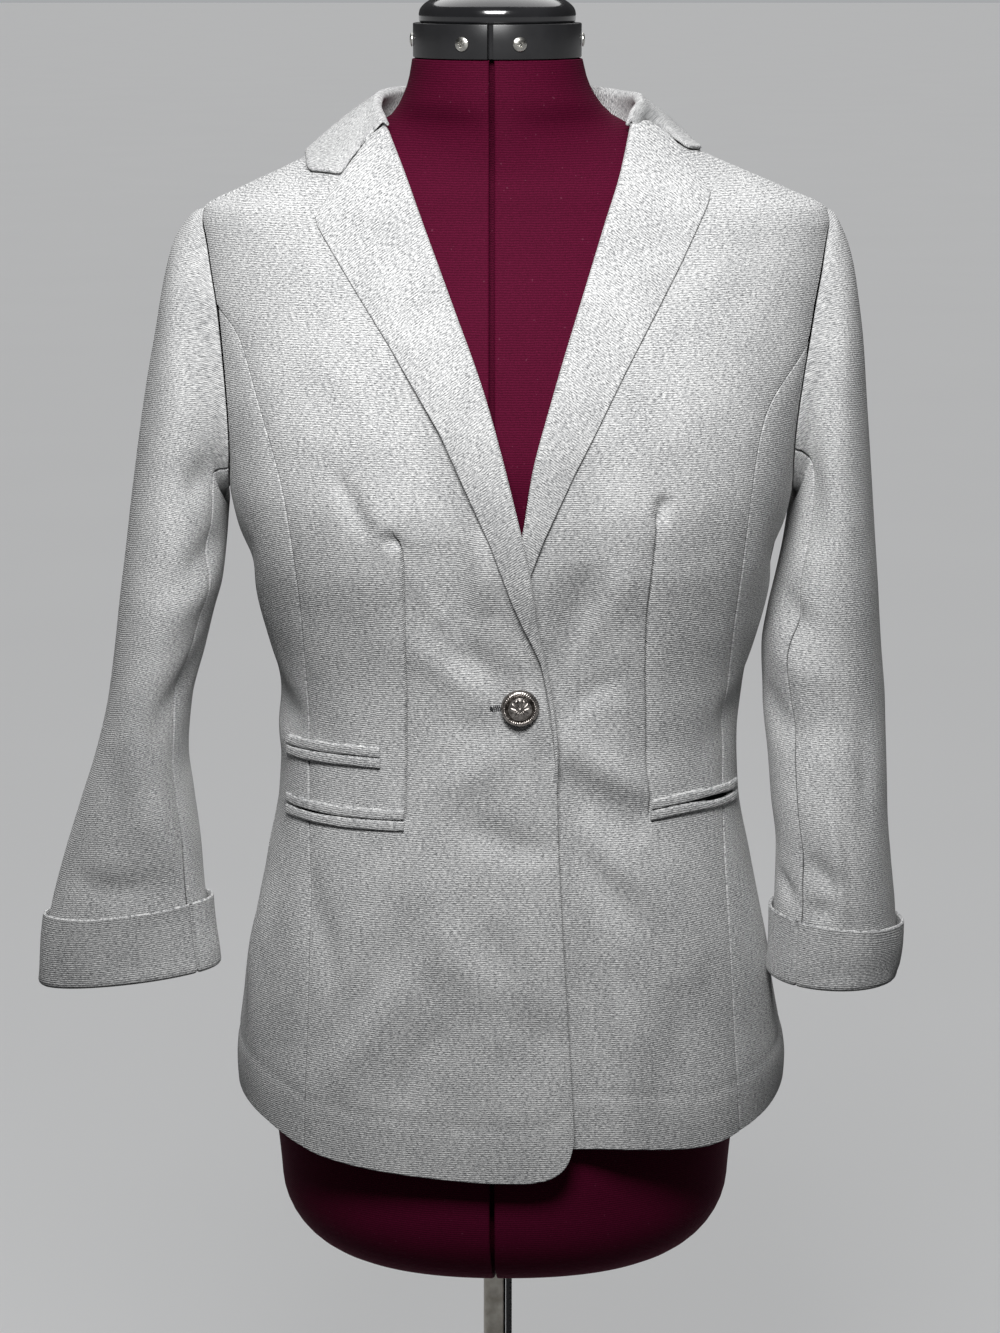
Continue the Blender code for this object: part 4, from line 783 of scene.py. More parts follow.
def panel(name, side, top, first, last, hems, finish, seed, pockets=False, dart=None, under=None):
    """One panel of the body between two seams, each a function of height that gives an angle.
    Only a front has a dart, and its first edge is free."""
    nominal = fine_rows(top)
    start = np.array([first(z) for z in nominal])
    stop = np.array([last(z) for z in nominal])
    dense = start[:, None] + (stop - start)[:, None] * np.linspace(0, 1, 121)
    real = level(nominal[:, None] + 0 * dense, dense, hems)
    reach = travelled(section(BODY, dense, real), 1)
    whole = reach[:, -1]
    ends = [np.full(len(nominal), SEAM_GAP), np.maximum(whole - SEAM_GAP, SEAM_GAP + 0.0004)]
    is_front = dart is not None
    if is_front:
        z_tip = dart[-1, 0]
        target = angle_at(curve(dart, 1, nominal), nominal)
        at = np.array([np.interp(place, angles[::side], reaches[::side])
                       for place, angles, reaches in zip(target, dense, reach)])
        tip = int(np.argmin(np.abs(nominal - z_tip)))
        ends.insert(1, np.where(nominal > nominal[tip], at[tip] / whole[tip] * whole, at))
    ends = np.array(ends).T
    places = spaced(ends, STEP)
    angle = np.array([np.interp(*row) for row in zip(places, reach, dense)])
    z = level(nominal[:, None] + 0 * angle, angle, hems)
    base = section(BODY, angle, z)
    out = facing(BODY, angle, z)
    shift = FOLD * creases(base, BODY_CREASES[side]) + ripple(base, BODY_RIPPLE, seed)
    shift = shift * below_neck(z)
    if under is not None:
        shift = shift + under(base[..., 0], z)
    first_away = places - ends[:, :1]
    last_away = ends[:, -1:] - places
    hem_away = z - level(HEM + 0 * angle, angle, hems)
    drop = bead(last_away, SEAM_BEAD) + bead(first_away, FREE_BEAD if is_front else SEAM_BEAD)
    drop = drop + bead(hem_away, FREE_BEAD)
    drop = drop + HEM_LINE * bell(hem_away - HEM_DEEP, 0.0030) * (hem_away > 0)
    for away in ([] if is_front else [first_away]) + [last_away]:
        drop = drop + SEAM_HOLLOW * bell(away, SEAM_HOLLOW_WIDTH)
    fold = 0 * drop
    if is_front:
        from_dart = np.abs(places - ends[:, 1:2])
        fade = (smooth(z, DART_FOOT - 0.004, DART_FOOT + 0.004)
                * (1 - smooth(z, z_tip - 0.006, z_tip)))
        outer_side = places > ends[:, 1:2]
        fold = fade * (DART_DEPTH * bell(from_dart, DART_WIDTH)
                       + DART_STEP * outer_side * bell(from_dart, 0.0045)
                       + DART_HOLLOW * bell(from_dart, 0.0080))
    lift = bead(hem_away, FREE_BEAD) + (bead(first_away, FREE_BEAD) if is_front else 0)
    uv = np.stack([places - ends[:, :1] + 3 * seed, z], -1)
    cloth_piece("cloth_" + name, [name], raised(base, out, shift - drop - fold),
                raised(base, out, shift - CLOTH + lift - fold), uv, finish, base, "laid",
                ["form_torso"], hole=pocket_hole(base, side) if pockets else None)


def pocket_hole(base, side):
    """Cells of a panel's grid that lie in a pocket's opening."""
    middle = (base[:-1, :-1] + base[1:, 1:]) / 2
    found = np.zeros(middle.shape[:2], bool)
    for name, (low_x, high_x, *heights) in POCKETS.items():
        if (high_x < 0) != (side < 0) or name == "ticket":
            continue
        slit = pocket_slit(low_x, high_x, *heights)
        inside = (middle[..., 0] > low_x + 0.003) & (middle[..., 0] < high_x - 0.003)
        found |= inside & (np.abs(middle[..., 2] - slit(middle[..., 0])) < POCKET_HALF)
    return found


def pocket_slit(low_x, high_x, *heights):
    """The slit's height as a function of x."""
    fit = np.polyfit([low_x, (low_x + high_x) / 2, high_x], heights, 2)
    return lambda x: np.polyval(fit, x)


def build_side(side, word, princess, edge, hems, top, dart, under, finish):
    """The four panels of one side, between their seams."""
    back_top, back_near = BACK_SEAM[-1]

    def rim(z, way):
        """Degrees to the armhole's front edge for way -1, or to its back edge for way 1. Above
        and below the armhole both are the side line."""
        return 90 + way * float(armhole_angle(z, ARMHOLE_FRONT if way < 0 else ARMHOLE_BACK))

    def ease(z, end):
        """How far a seam has swung over to its end on the armhole."""
        return float(smooth(z, end - 0.055, end)) ** 2

    def seam(z):
        plain, near = (abs(float(angle_at(curve(princess, 1, at), at))) for at in (z, top))
        return side * (plain + (rim(min(z, top), -1) - SEAM_PAST - near) * ease(z, top))

    def back_seam(z):
        plain = float(curve(BACK_SEAM, 1, z))
        swing = rim(min(z, back_top), 1) + SEAM_PAST - back_near
        return side * (plain + swing * ease(z, back_top))

    def front_in(z):
        foot = TUCK_FOOT[word]
        tucked = side * TUCK * float(smooth(z, foot, foot + 0.05))
        return float(angle_at(curve(edge, 1, z) + tucked, z))

    def front_out(z):
        return seam(z) if z <= top else side * rim(z, -1)

    def back_out(z):
        return back_seam(z) if z <= back_top else side * rim(z, 1)

    def middle(z):
        return side * 180.0

    seed = BODY_SEED[side]
    panel("front_" + word, side, NECK_EDGE, front_in, front_out, hems, finish, seed, True, dart,
          under)
    panel("side_front_" + word, side, top, seam, lambda z: side * rim(z, -1), hems, finish,
          seed + 1, True)
    panel("side_back_" + word, side, back_top, lambda z: side * rim(z, 1), back_seam, hems, finish,
          seed + 2)
    panel("back_" + word, side, NECK_EDGE, back_out, middle, hems, finish, seed + 3)


def build_body(finish):
    build_side(-1, "right", PRINCESS_RIGHT, EDGE_RIGHT, HEM_RIGHT, 1.226, DART_RIGHT, None, finish)
    build_side(1, "left", PRINCESS_LEFT, EDGE_LEFT, HEM_LEFT, 1.205, DART_LEFT, underlap, finish)


# ---- sleeves and cuffs ----
HEAD_EASE = 0.0016  # the sleeve head stands this proud of its seam
SLEEVE_STEP = 0.0032  # grid step of the sleeve's cloth
SLEEVE_GAP = 0.00055  # half the slit of a sleeve's seam
SLEEVE_HOLLOW = 0.0006  # the cloth is drawn in this far at a seam
SLEEVE_HOLLOW_WIDTH = 0.0050
SLEEVE_RIPPLE = 0.0007
CUFF_LAY = 0.0012  # the turned cuff stands this far off its sleeve
CUFF_WALL = 0.0021
CUFF_FLARE = 0.0016  # its top edge stands this much further off
CUFF_SEAM = 0.0016  # depth of the groove at the cuff's seam
CUFF_DEGREE = 0.0008  # length of one degree round the cuff
# Creases of the cuffs: depth, width, and the degrees round the cuff between which each runs.
CUFF_CREASES = {"right": [(-0.0016, 0.0060, 8, 100), (-0.0014, 0.0050, 104, 150)],
                "left": [(-0.0020, 0.0070, 20, 60), (0.0018, 0.0060, 84, 100)]}
# Creases of the sleeves: depth, width, then places down the sleeve with degrees round it.
SLEEVE_CREASES_LEFT = [
    (-0.0034, 0.0070, (13.9, 124), (14.2, 108), (14.5, 92)),
    (0.0030, 0.0040, (12.8, 96), (13.8, 93), (14.5, 90), (15.3, 88)),
    (-0.0026, 0.0060, (14.4, 168), (14.6, 152), (14.9, 136)),
    (-0.0022, 0.0065, (14.9, 122), (14.9, 96)),
    (-0.0016, 0.0075, (11.0, 58), (12.2, 57), (13.4, 62)),
    (-0.0034, 0.0110, (8.2, 150), (9.0, 126), (9.2, 100)),
    (0.0020, 0.0120, (9.6, 150), (10.2, 120), (10.4, 84)),
    (-0.0030, 0.0120, (10.6, 168), (11.2, 140), (11.6, 112)),
    (-0.0028, 0.0140, (8.4, 210), (9.4, 240), (9.8, 280)),
    (-0.0026, 0.0130, (10.8, 200), (11.6, 230), (12.2, 270)),
    (-0.0024, 0.0110, (13.2, 230), (14.0, 262), (14.6, 290)),
    (0.0016, 0.0120, (3.0, 96), (5.0, 92), (7.0, 90)),
    (-0.0030, 0.0140, (2.5, 122), (5.0, 116), (7.4, 114)),
]
SLEEVE_CREASES_RIGHT = [
    (-0.0036, 0.0120, (3.0, 140), (4.4, 118), (5.6, 104)),
    (-0.0030, 0.0120, (6.0, 160), (7.0, 132), (7.8, 108)),
    (0.0018, 0.0110, (7.6, 150), (8.6, 122), (9.2, 96)),
    (-0.0028, 0.0130, (9.8, 164), (10.8, 132), (11.6, 104)),
    (-0.0016, 0.0120, (11.6, 60), (12.8, 76), (14.0, 84)),
    (-0.0020, 0.0100, (14.4, 40), (14.7, 80), (14.7, 126)),
    (0.0016, 0.0110, (12.6, 110), (13.6, 118), (14.4, 128)),
    (-0.0028, 0.0140, (7.6, 206), (8.6, 238), (9.2, 274)),
    (-0.0026, 0.0130, (10.4, 204), (11.2, 236), (12.0, 268)),
    (-0.0022, 0.0110, (13.0, 226), (13.8, 258), (14.4, 288)),
]


def sleeve_path(table, side, path):
    """A path over the sleeve, given as places down it and degrees round it."""
    return np.array([sleeve_ring(table, p, np.array([float(a)]), side)[0] for p, a in path])


def sleeve_field(table, side, places, around):
    """Points and outward directions of the sleeve over places and degrees round it."""
    last = len(table) - 1
    grid = np.array([sleeve_ring(table, min(max(p, 0), last), around, side) for p in places])
    down = np.array([sleeve_ring(table, min(p + 0.03, last), around, side)
                     - sleeve_ring(table, max(p - 0.03, 0), around, side) for p in places])
    out = np.cross(np.gradient(grid, axis=1), down)
    out /= np.maximum(np.linalg.norm(out, axis=-1, keepdims=True), 1e-12)
    x_out, z_out, x_in, z_in, y_mid = (curve(by_row(table), k, places) for k in range(1, 6))
    middle = np.stack([(x_out + x_in) / 2, y_mid, (z_out + z_in) / 2], -1)
    away = grid - middle[:, None]
    if np.mean(np.sign(np.sum(out * away, axis=-1))) < 0:
        out = -out
    # Where the rings crowd together under the arm the direction leans on the ring's own.
    crowd = (1 - smooth(places, 1.0, 4.5))[:, None, None] * 0.6
    out = out * (1 - crowd) + unit(away) * crowd
    return grid, unit(out)


def round_columns(table, side, first, last):
    """Degrees round the sleeve for columns that are close beside both seams. Their lengths come
    from the ring at its middle."""
    dense = np.linspace(first, last, 241)
    reach = travelled(sleeve_ring(table, 6.0, dense, side))
    places = spaced(np.array([[SLEEVE_GAP, reach[-1] - SLEEVE_GAP]]), SLEEVE_STEP)[0]
    return np.interp(places, reach, dense), places


def down_places(table, side, last):
    """Places down the sleeve for rows that are even in length along its front, and close at its
    head."""
    dense = np.linspace(0, last, 300)
    reach = travelled(sleeve_path(table, side, [(p, 30) for p in dense]))
    rows = np.arange(0, reach[-1] + SLEEVE_STEP / 2, SLEEVE_STEP)
    rows = np.concatenate([EDGE_STEPS, rows[rows > EDGE_STEPS[-1] + SLEEVE_STEP / 2]])
    return np.interp(rows, reach, dense), rows


def build_sleeve(side, word, table, marks, finish):
    front = place_round(SLEEVE_SEAM[word])
    back = place_round(SLEEVE_BACK_SEAM)
    folds = laid(lambda path: sleeve_path(table, side, path), marks)
    places, rows = down_places(table, side, len(table) - 1.02)
    for name, first, last in (("upper_sleeve_", -back, front),
                              ("under_sleeve_", front, 360 - back)):
        around, columns = round_columns(table, side, first, last)
        base, out = sleeve_field(table, side, places, around)
        shift = FOLD * creases(base, folds) + ripple(base, SLEEVE_RIPPLE, side * 1.1 + 5)
        top_away = rows[:, None] + 0 * shift
        crown = np.cos(np.radians(around))[None] * 0.5 + 0.5
        shift = shift * smooth(top_away, 0.0, 0.030)
        shift = shift + HEAD_EASE * crown * smooth(top_away, 0.0003, 0.006) * (
            1 - smooth(top_away, 0.020, 0.060))
        drop = bead(top_away, SEAM_BEAD)
        across = columns[None] + 0 * shift
        for away in (across - columns[0], columns[-1] - across):
            drop = drop + bead(away, SEAM_BEAD) + SLEEVE_HOLLOW * bell(away, SLEEVE_HOLLOW_WIDTH)
        uv = np.stack([across + side, travelled(base[::-1])[::-1]], -1)
        cloth_piece("cloth_" + name + word, [name + word], raised(base, out, shift - drop),
                    raised(base, out, shift - CLOTH), uv, finish, base, "laid",
                    ["cloth_side_front_" + word])
    build_cuff(word, side, table, front, finish)


def build_cuff(word, side, table, front, finish):
    """The cuff, from inside the sleeve's end round its fold and up to its top edge."""
    beside = np.array([0.0, 0.5, 1.0, 1.6, 2.4])
    around = np.concatenate([front + beside, np.linspace(front + 4, front + 356, 177),
                             front + 360 - beside[::-1]])
    dense = np.linspace(CUFF_TOP - 0.02, len(table) - 1.0, 80)
    base, out = sleeve_field(table, side, dense, around)
    line = base.mean(axis=1)
    reach = travelled(line)
    height = reach[-1]
    outside = CUFF_LAY + CUFF_WALL / 2
    inside = -CLOTH - 0.0004 - CUFF_WALL / 2
    radius = (outside - inside) / 2
    # Rows: inside the sleeve, round the fold, and up the outside.
    within, bend, up = 12, 9, 24
    rise = np.concatenate([np.linspace(0.030, 0.002, within), np.zeros(bend),
                           np.linspace(0.0025, height - EDGE_STEPS[-1], up - len(EDGE_STEPS)),
                           (height - EDGE_STEPS)[::-1]])
    turn = np.radians(np.linspace(-90, 90, bend))
    off = np.concatenate([np.full(within, inside), (inside + outside) / 2 + radius * np.sin(turn),
                          np.full(up, outside)])
    sag = np.concatenate([np.zeros(within), radius * np.cos(turn) * 0.9, np.zeros(up)])
    flare = np.concatenate([np.zeros(within + bend), np.linspace(0, 1, up) ** 1.5]) * CUFF_FLARE
    places = np.interp(height - rise, reach, dense)
    base, out = sleeve_field(table, side, places, around)
    down = unit(line[-1] - line[-6])
    middle = base + out * (off + flare)[:, None, None] + down * sag[:, None, None]
    seam_away = np.minimum(np.abs(around - around[0]), np.abs(around - around[-1])) * CUFF_DEGREE
    waves = 0.0007 * np.sin(np.radians(around) * 3 + side) + 0.0004 * np.sin(np.radians(around) * 7)
    middle = raised(middle, out, waves * smooth(rise, 0.0, 0.010)[:, None])
    for depth, width, low, high in CUFF_CREASES[word]:
        along = bell(rise - height * 0.55, width)[:, None]
        where = smooth(around, low, low + 15) * (1 - smooth(around, high - 15, high))
        middle = raised(middle, out, depth * along * where[None])
    # The wall's own directions, so that it keeps its thickness round the fold.
    across = unit(np.cross(np.gradient(middle, axis=1), np.gradient(middle, axis=0)))
    if np.sum(across[-10] * out[-10]) < 0:
        across = -across
    top_away = np.where(np.arange(len(rise)) >= within + bend, height - rise, 0.02)
    half = CUFF_WALL / 2 - bead(top_away, CUFF_WALL / 2 - 0.00005)[:, None]
    seam_drop = CUFF_SEAM * bell(seam_away, 0.0010)[None]
    length = travelled(middle[:, 40])[:, None]
    wide = travelled(middle[-1])[None]
    uv = np.stack([wide + 0 * length + side * 2, -length + 0 * wide], -1)
    cloth_piece("cloth_cuff_" + word, ["cuff_" + word], raised(middle, across, half - seam_drop),
                raised(middle, across, -half), uv, finish, middle, "folded",
                ["cloth_upper_sleeve_" + word], closed=True)


def build_sleeves(finish):
    build_sleeve(-1, "right", SLEEVE_RIGHT, SLEEVE_CREASES_RIGHT, finish)
    build_sleeve(1, "left", SLEEVE_LEFT, SLEEVE_CREASES_LEFT, finish)


# ---- lapels, collar and pockets ----
LAPEL_STEP = 0.0030  # grid step of the lapels
ROLL_OUT = 0.0011  # how far the lapel's fold reaches past the roll line
FACING = 0.014  # the facing that shows behind the fold
LAPEL_PUFF = 0.0014
GRAIN_LAPEL = (0.82, 0.57)  # cosine and sine of the grain's slant on the lapels
COLLAR_THICK = 0.0023
WELT_LIE = 0.0003  # the welts stand this far off the front
BAG_DEPTH = 0.0075
# Extra half opening of each pocket: height, where along it, and how long.
POCKET_GAPE = {"ticket": (0.0, 0.5, 0.4), "pocket_right": (0.0005, 0.20, 0.22),
               "pocket_left": (0.0017, 0.74, 0.22)}


def lapel(word, side, edge, top, side_edge, under, finish):
    """The lapel, from the facing behind its roll, round the fold and out to its free edge."""
    down, fine = 130, 200
    foot = LAPEL_FOOT[word]
    heights = top[0][1] - (top[0][1] - foot) * np.linspace(0, 1, down) ** 1.15
    roll = np.stack([curve(edge, 1, heights), heights], -1)
    roll[0] = top[0]
    rim = along_path(side_edge, down, 1.15)
    width = np.linalg.norm(rim - roll, axis=1)
    # The first columns are left out, because the fold goes on smoothly from the roll line.
    places = spaced(np.stack([0 * width, width], -1), LAPEL_STEP)[:, 3:]
    u = (places / width[:, None])[..., None]
    v = np.linspace(0, 1, down)[:, None, None]

    def along(line):
        at = u[..., 0] * (fine - 1)
        return np.stack([np.interp(at, np.arange(fine), line[:, k]) for k in (0, 1)], -1)

    # A patch between four lines: the roll, the rim, the top and the foot.
    flat = ((1 - u) * roll[:, None] + u * rim[:, None] + (1 - v) * along(along_path(top, fine))
            + v * along(np.linspace(roll[-1], rim[-1], fine)) - (1 - u) * (1 - v) * roll[0]
            - u * (1 - v) * rim[0] - (1 - u) * v * roll[-1] - u * v * rim[-1])
    x, z = flat[..., 0], flat[..., 1]
    surface, out = on_body(x, z)
    rim_away = (width[:, None] - places) + 0 * x
    hugs = 1 - smooth(rim_away, 0.0, 0.035)
    chest = (0.35 * FOLD * creases(surface, BODY_CREASES[side])
             + ripple(surface, BODY_RIPPLE, BODY_SEED[side]))
    shift = under(x, z) + chest * hugs * below_neck(z)
    head_away = np.linalg.norm(surface - surface[:1], axis=-1)
    foot_fade = smooth(np.linspace(1, 0, down), 0.0, 0.10)[:, None]
    puff = LAPEL_PUFF * bell(places, 0.020) * foot_fade
    puff = puff + 0.0006 * smooth(rim_away, 0.0, 0.012) * foot_fade
    puff = puff + ripple(surface, 0.0004, 9 + side) * (1 - hugs)
    lie = LAY - 0.0005 * (1 - smooth(rim_away, 0.0, 0.030)) * foot_fade
    rim_round = bead(rim_away, TRIM / 2) + bead(head_away, TRIM / 2)
    # The right lapel's foot sinks into the front's edge.
    sunk = (1 - smooth(heights, foot, foot + 0.014)) * (side < 0)
    shift = shift - 0.0024 * sunk[:, None]
    high = shift + lie + TRIM + puff - rim_round
    low = shift + lie + puff * 0.3 + rim_round * 0.9
    # The fold: its middle lies between the lapel's face and the front panel's inner side.
    first, normal = surface[:, 0], out[:, 0]
    away = first - surface[:, 6]
    away = unit(away - normal * np.sum(away * normal, axis=-1, keepdims=True))
    bottom = shift[:, 0] - CLOTH - 0.0004
    radius = (high[:, 0] - bottom) / 2
    centre = (high[:, 0] + bottom) / 2
    roll_out = ROLL_OUT - 0.0022 * sunk

    turns = np.radians(np.linspace(-90, 86, 13))

    def fold(bend):
        """One side of the facing and the fold, at this distance from the fold's middle."""
        rows = [raised(raised(first, away, (roll_out - radius) + bend * np.cos(turn)), normal,
                       centre + bend * np.sin(turn)) for turn in turns]
        behind = [rows[0] - away * np.minimum(inset, 0.8 * width + 0.004)[:, None]
                  for inset in np.linspace(FACING, 0.001, 6)]
        return np.stack(behind + rows, 1)

    outer = np.concatenate([fold(radius), raised(surface, out, high)], 1)
    inner = np.concatenate([fold(radius - TRIM * 0.8), raised(surface, out, low)], 1)
    cos, sin = GRAIN_LAPEL
    grain = np.stack([x * cos - z * sin * side, x * sin * side + z * cos], -1)
    strip = np.stack([np.linspace(-0.020, -0.0005, 19), np.zeros(19)], -1)
    uv = np.concatenate([grain[:, :1] + strip, grain], 1)
    cloth_piece("cloth_lapel_" + word, ["lapel_" + word], outer, inner, uv, finish, outer, "folded",
                ["cloth_front_" + word])


def build_lapels(finish):
    lapel("right", -1, EDGE_RIGHT, LAPEL_TOP_RIGHT, LAPEL_OUT_RIGHT, lambda x, z: 0 * x, finish)
    lapel("left", 1, EDGE_LEFT, LAPEL_TOP_LEFT, LAPEL_OUT_LEFT, underlap, finish)


def spline(points, count):
    """A smooth line of even points through a few, along the first axis."""
    points = np.asarray(points)
    steps = np.linalg.norm(np.diff(points, axis=0), axis=-1)
    knots = np.concatenate([[0], np.cumsum(np.sqrt(steps))])
    slope = np.gradient(points, knots, axis=0)
    at = knots[-1] * np.linspace(0, 1, count)
    i = np.clip(np.searchsorted(knots, at, side="right") - 1, 0, len(knots) - 2)
    step = (knots[i + 1] - knots[i])[:, None]
    return eased(((at - knots[i]) / step[:, 0])[:, None], step, points[i], points[i + 1], slope[i],
                 slope[i + 1])


def build_collar(finish):
    last = len(COLLAR_RIGHT) - 1
    near = np.array((0, 0.01, 0.03, 0.06, 0.10, 0.16))
    stations = np.concatenate([np.linspace(0, last - 0.2, 62), last - near[::-1]])
    right = collar_side(COLLAR_RIGHT, COLLAR_END_RIGHT, -1, stations)
    left = collar_side(COLLAR_LEFT, COLLAR_END_LEFT, 1, stations[1:])
    grid = np.array([spline(line, 64) for line in right[::-1] + left])
    middle = np.exp(-(np.arange(len(grid)) - len(grid) / 2) ** 2 / 400)
    grid[:, 30:] += np.array([0, 0.0006, 0]) * middle[:, None, None]
    normal = unit(np.cross(np.gradient(grid, axis=1), np.gradient(grid, axis=0)))
    length = travelled(grid, 1)
    width = travelled(grid)
    thin = bead(length[:, -1:] - length, COLLAR_THICK / 2)
    thin = thin + bead(np.minimum(width, width[-1:] - width), COLLAR_THICK / 2)
    half = np.maximum(COLLAR_THICK / 2 - thin, 0.00012)
    swell = ripple(grid, 0.0004, 12.5)
    cloth_piece("cloth_collar", ["collar"], raised(grid, normal, swell + half),
                raised(grid, normal, swell - half), np.stack([length, width], -1), finish, grid,
                "folded", ["cloth_back_right", "cloth_back_left"])


def trim_folds(base):
    """The creases under a pocket's trim, which lies on one front."""
    return FOLD * creases(base, BODY_CREASES[-1 if base[0, 0, 0] < 0 else 1])


def welt(name, node, low_x, high_x, low, high, finish):
    """One welt: a narrow folded strip with rounded long edges."""
    columns = np.concatenate([low_x + EDGE_STEPS, np.linspace(low_x + 0.010, high_x - 0.010, 26),
                              (high_x - EDGE_STEPS)[::-1]])
    bottom, top = low(columns)[:, None], high(columns)[:, None]
    share = np.array([0, 0.02, 0.05, 0.1, 0.18, 0.3, 0.5, 0.7, 0.82, 0.9, 0.95, 0.98, 1])[None]
    z = bottom + (top - bottom) * share
    x = columns[:, None] + 0 * z
    base, out = on_body(x, z)
    shift = trim_folds(base)
    drop = bead(np.minimum(z - bottom, top - z), 0.0011)
    drop = drop + bead(np.minimum(x - low_x, high_x - x), 0.0007)
    swell = 0.0003 * np.sin(np.pi * share)
    cloth_piece(name, [node], raised(base, out, shift + WELT_LIE + TRIM + swell - drop),
                raised(base, out, shift + WELT_LIE - 0.0004), np.stack([x, z], -1), finish, base,
                "laid", [])


def build_pocket(name, low_x, high_x, heights, finish, dark):
    slit = pocket_slit(low_x, high_x, *heights)
    gape, centre, spread = POCKET_GAPE[name]

    def lip(x):
        """Half the height of the opening between the welts."""
        share = np.clip((x - low_x) / (high_x - low_x), 0, 1)
        return SLIT * 0.25 + gape * bell(share - centre, spread)

    welt("cloth_" + name + "_upper", name + "_upper_welt", low_x, high_x,
         lambda x: slit(x) + lip(x) * 0.7, lambda x: slit(x) + SLIT / 2 + WELT, finish)
    welt("cloth_" + name + "_lower", name + "_lower_welt", low_x, high_x,
         lambda x: slit(x) - SLIT / 2 - WELT, lambda x: slit(x) - lip(x), finish)
    if name != "ticket":
        pocket_bag(name, low_x, high_x, slit, dark)


def build_pockets(finish, dark):
    for name, (low_x, high_x, *heights) in POCKETS.items():
        build_pocket(name, low_x, high_x, heights, finish, dark)


def pocket_bag(name, low_x, high_x, slit, dark):
    """The bag that shows through a pocket's opening, a trough behind the panel, in dark cloth whose
    colour is partly painted shade of the opening.
    """
    columns = np.linspace(low_x + 0.002, high_x - 0.002, 40)
    z = slit(columns)[:, None] + np.linspace(0.0050, -0.0100, 14)
    x = columns[:, None] + 0 * z
    base, out = on_body(x, z)
    hollow = np.sin(np.pi * np.linspace(0, 1, 14)) ** 0.7 * np.sin(
        np.pi * np.linspace(0.03, 0.97, 40))[:, None] ** 0.5
    face = raised(base, out, trim_folds(base) - CLOTH - 0.0004 - BAG_DEPTH * hollow)
    cloth_piece(name + "_bag", [], face, face - out * 0.0006, np.stack([x, z], -1), dark, face,
                "laid", [])


# ---- button and buttonhole ----
BUTTON_R = 0.0120
STITCH_LONG = 0.0021
STITCH_R = 0.00036


def turned(name, profile, sides, finish, slot, node, place, smooth_over=35.0, sector=None):
    """A turned piece from (radius, height) pairs, closed on its axis, or a sector of a ring."""
    radius, height = np.array(profile).T[..., None]
    angles = np.radians(np.linspace(*(sector or (0, 360)), sides, endpoint=bool(sector)))
    rings = np.stack([radius * np.cos(angles), radius * np.sin(angles), height + 0 * angles], -1)
    if sector:
        rings = rings.swapaxes(0, 1)
        faces = tube_faces(*rings.shape[:2], capped=(0, -1))
    else:
        faces = tube_faces(*rings.shape[:2], tips=np.flatnonzero(radius == 0))
    made = mesh_from(name, rings.reshape(-1, 3) + place, faces, finish, smooth_over)
    place_piece(made, slot, node)
    return made


def polar(radii, step):
    """A grid of radii and angles, one row for each radius, with a step in degrees."""
    turns = np.radians(np.arange(0, 360, step))
    r = np.asarray(radii)[:, None] + 0 * turns
    return r, turns + 0 * r


def build_button(metal, thread):
    x, z = WAIST_BUTTON
    angle = float(angle_at(x, z))
    out = facing(BODY, angle, z)
    side = unit(np.cross((0, 0, 1), out))
    axes = np.array([side, np.cross(out, side), out])
    # The face: a turned rim, a channel and a low dome with a rosette of twelve petals.
    r, t = polar(np.concatenate([np.linspace(0, 0.0076, 34), np.linspace(0.0079, 0.0102, 14),
                                 np.linspace(0.0104, BUTTON_R, 16)]), 2.0)
    rim = smooth(r, 0.0076, 0.0084)
    dome = 0.0052 + 0.0016 * (1 - (r / 0.0078) ** 2)
    petals = (0.00065 * np.abs(np.cos(6 * t)) ** 0.8 * smooth(r, 0.0014, 0.0026)
              * (1 - smooth(r, 0.0060, 0.0068)))
    heart = 0.0006 * (1 - smooth(r, 0.0008, 0.0013))
    inner_ring = 0.0004 * bell(r - 0.0071, 0.0003)
    rope = 0.0009 * bell(r - 0.0098, 0.0009) * (1 + 0.32 * np.cos(44 * t + 2200 * (r - 0.0098)))
    channel = -0.0005 * bell(r - 0.0081, 0.0004)
    height = dome * (1 - rim) + 0.0042 * rim + petals + heart + inner_ring + rope + channel
    height = height - 0.0016 * smooth(r, 0.0108, BUTTON_R) ** 2
    # The back, from the rim in to the middle.
    back_r, back_t = polar((BUTTON_R, BUTTON_R - 0.0004, 0.0112, 0.0088, 0.0), 2.0)
    back = np.array([0.0024, 0.0018, 0.0010, 0.0002, 0.0])[:, None] + 0 * back_r
    r, t, height = (np.concatenate(pair) for pair in ((r, back_r), (t, back_t), (height, back)))
    seat = body(angle, z, BUTTON_LIFT)
    rings = np.stack([r * np.cos(t), r * np.sin(t), height], -1) @ axes + seat
    faces = tube_faces(*r.shape, tips=(0, len(r) - 1))
    made = mesh_from("waist_button", rings.reshape(-1, 3), faces, metal, 70)
    place_piece(made, "gunmetal", "button")
    build_buttonhole(thread)


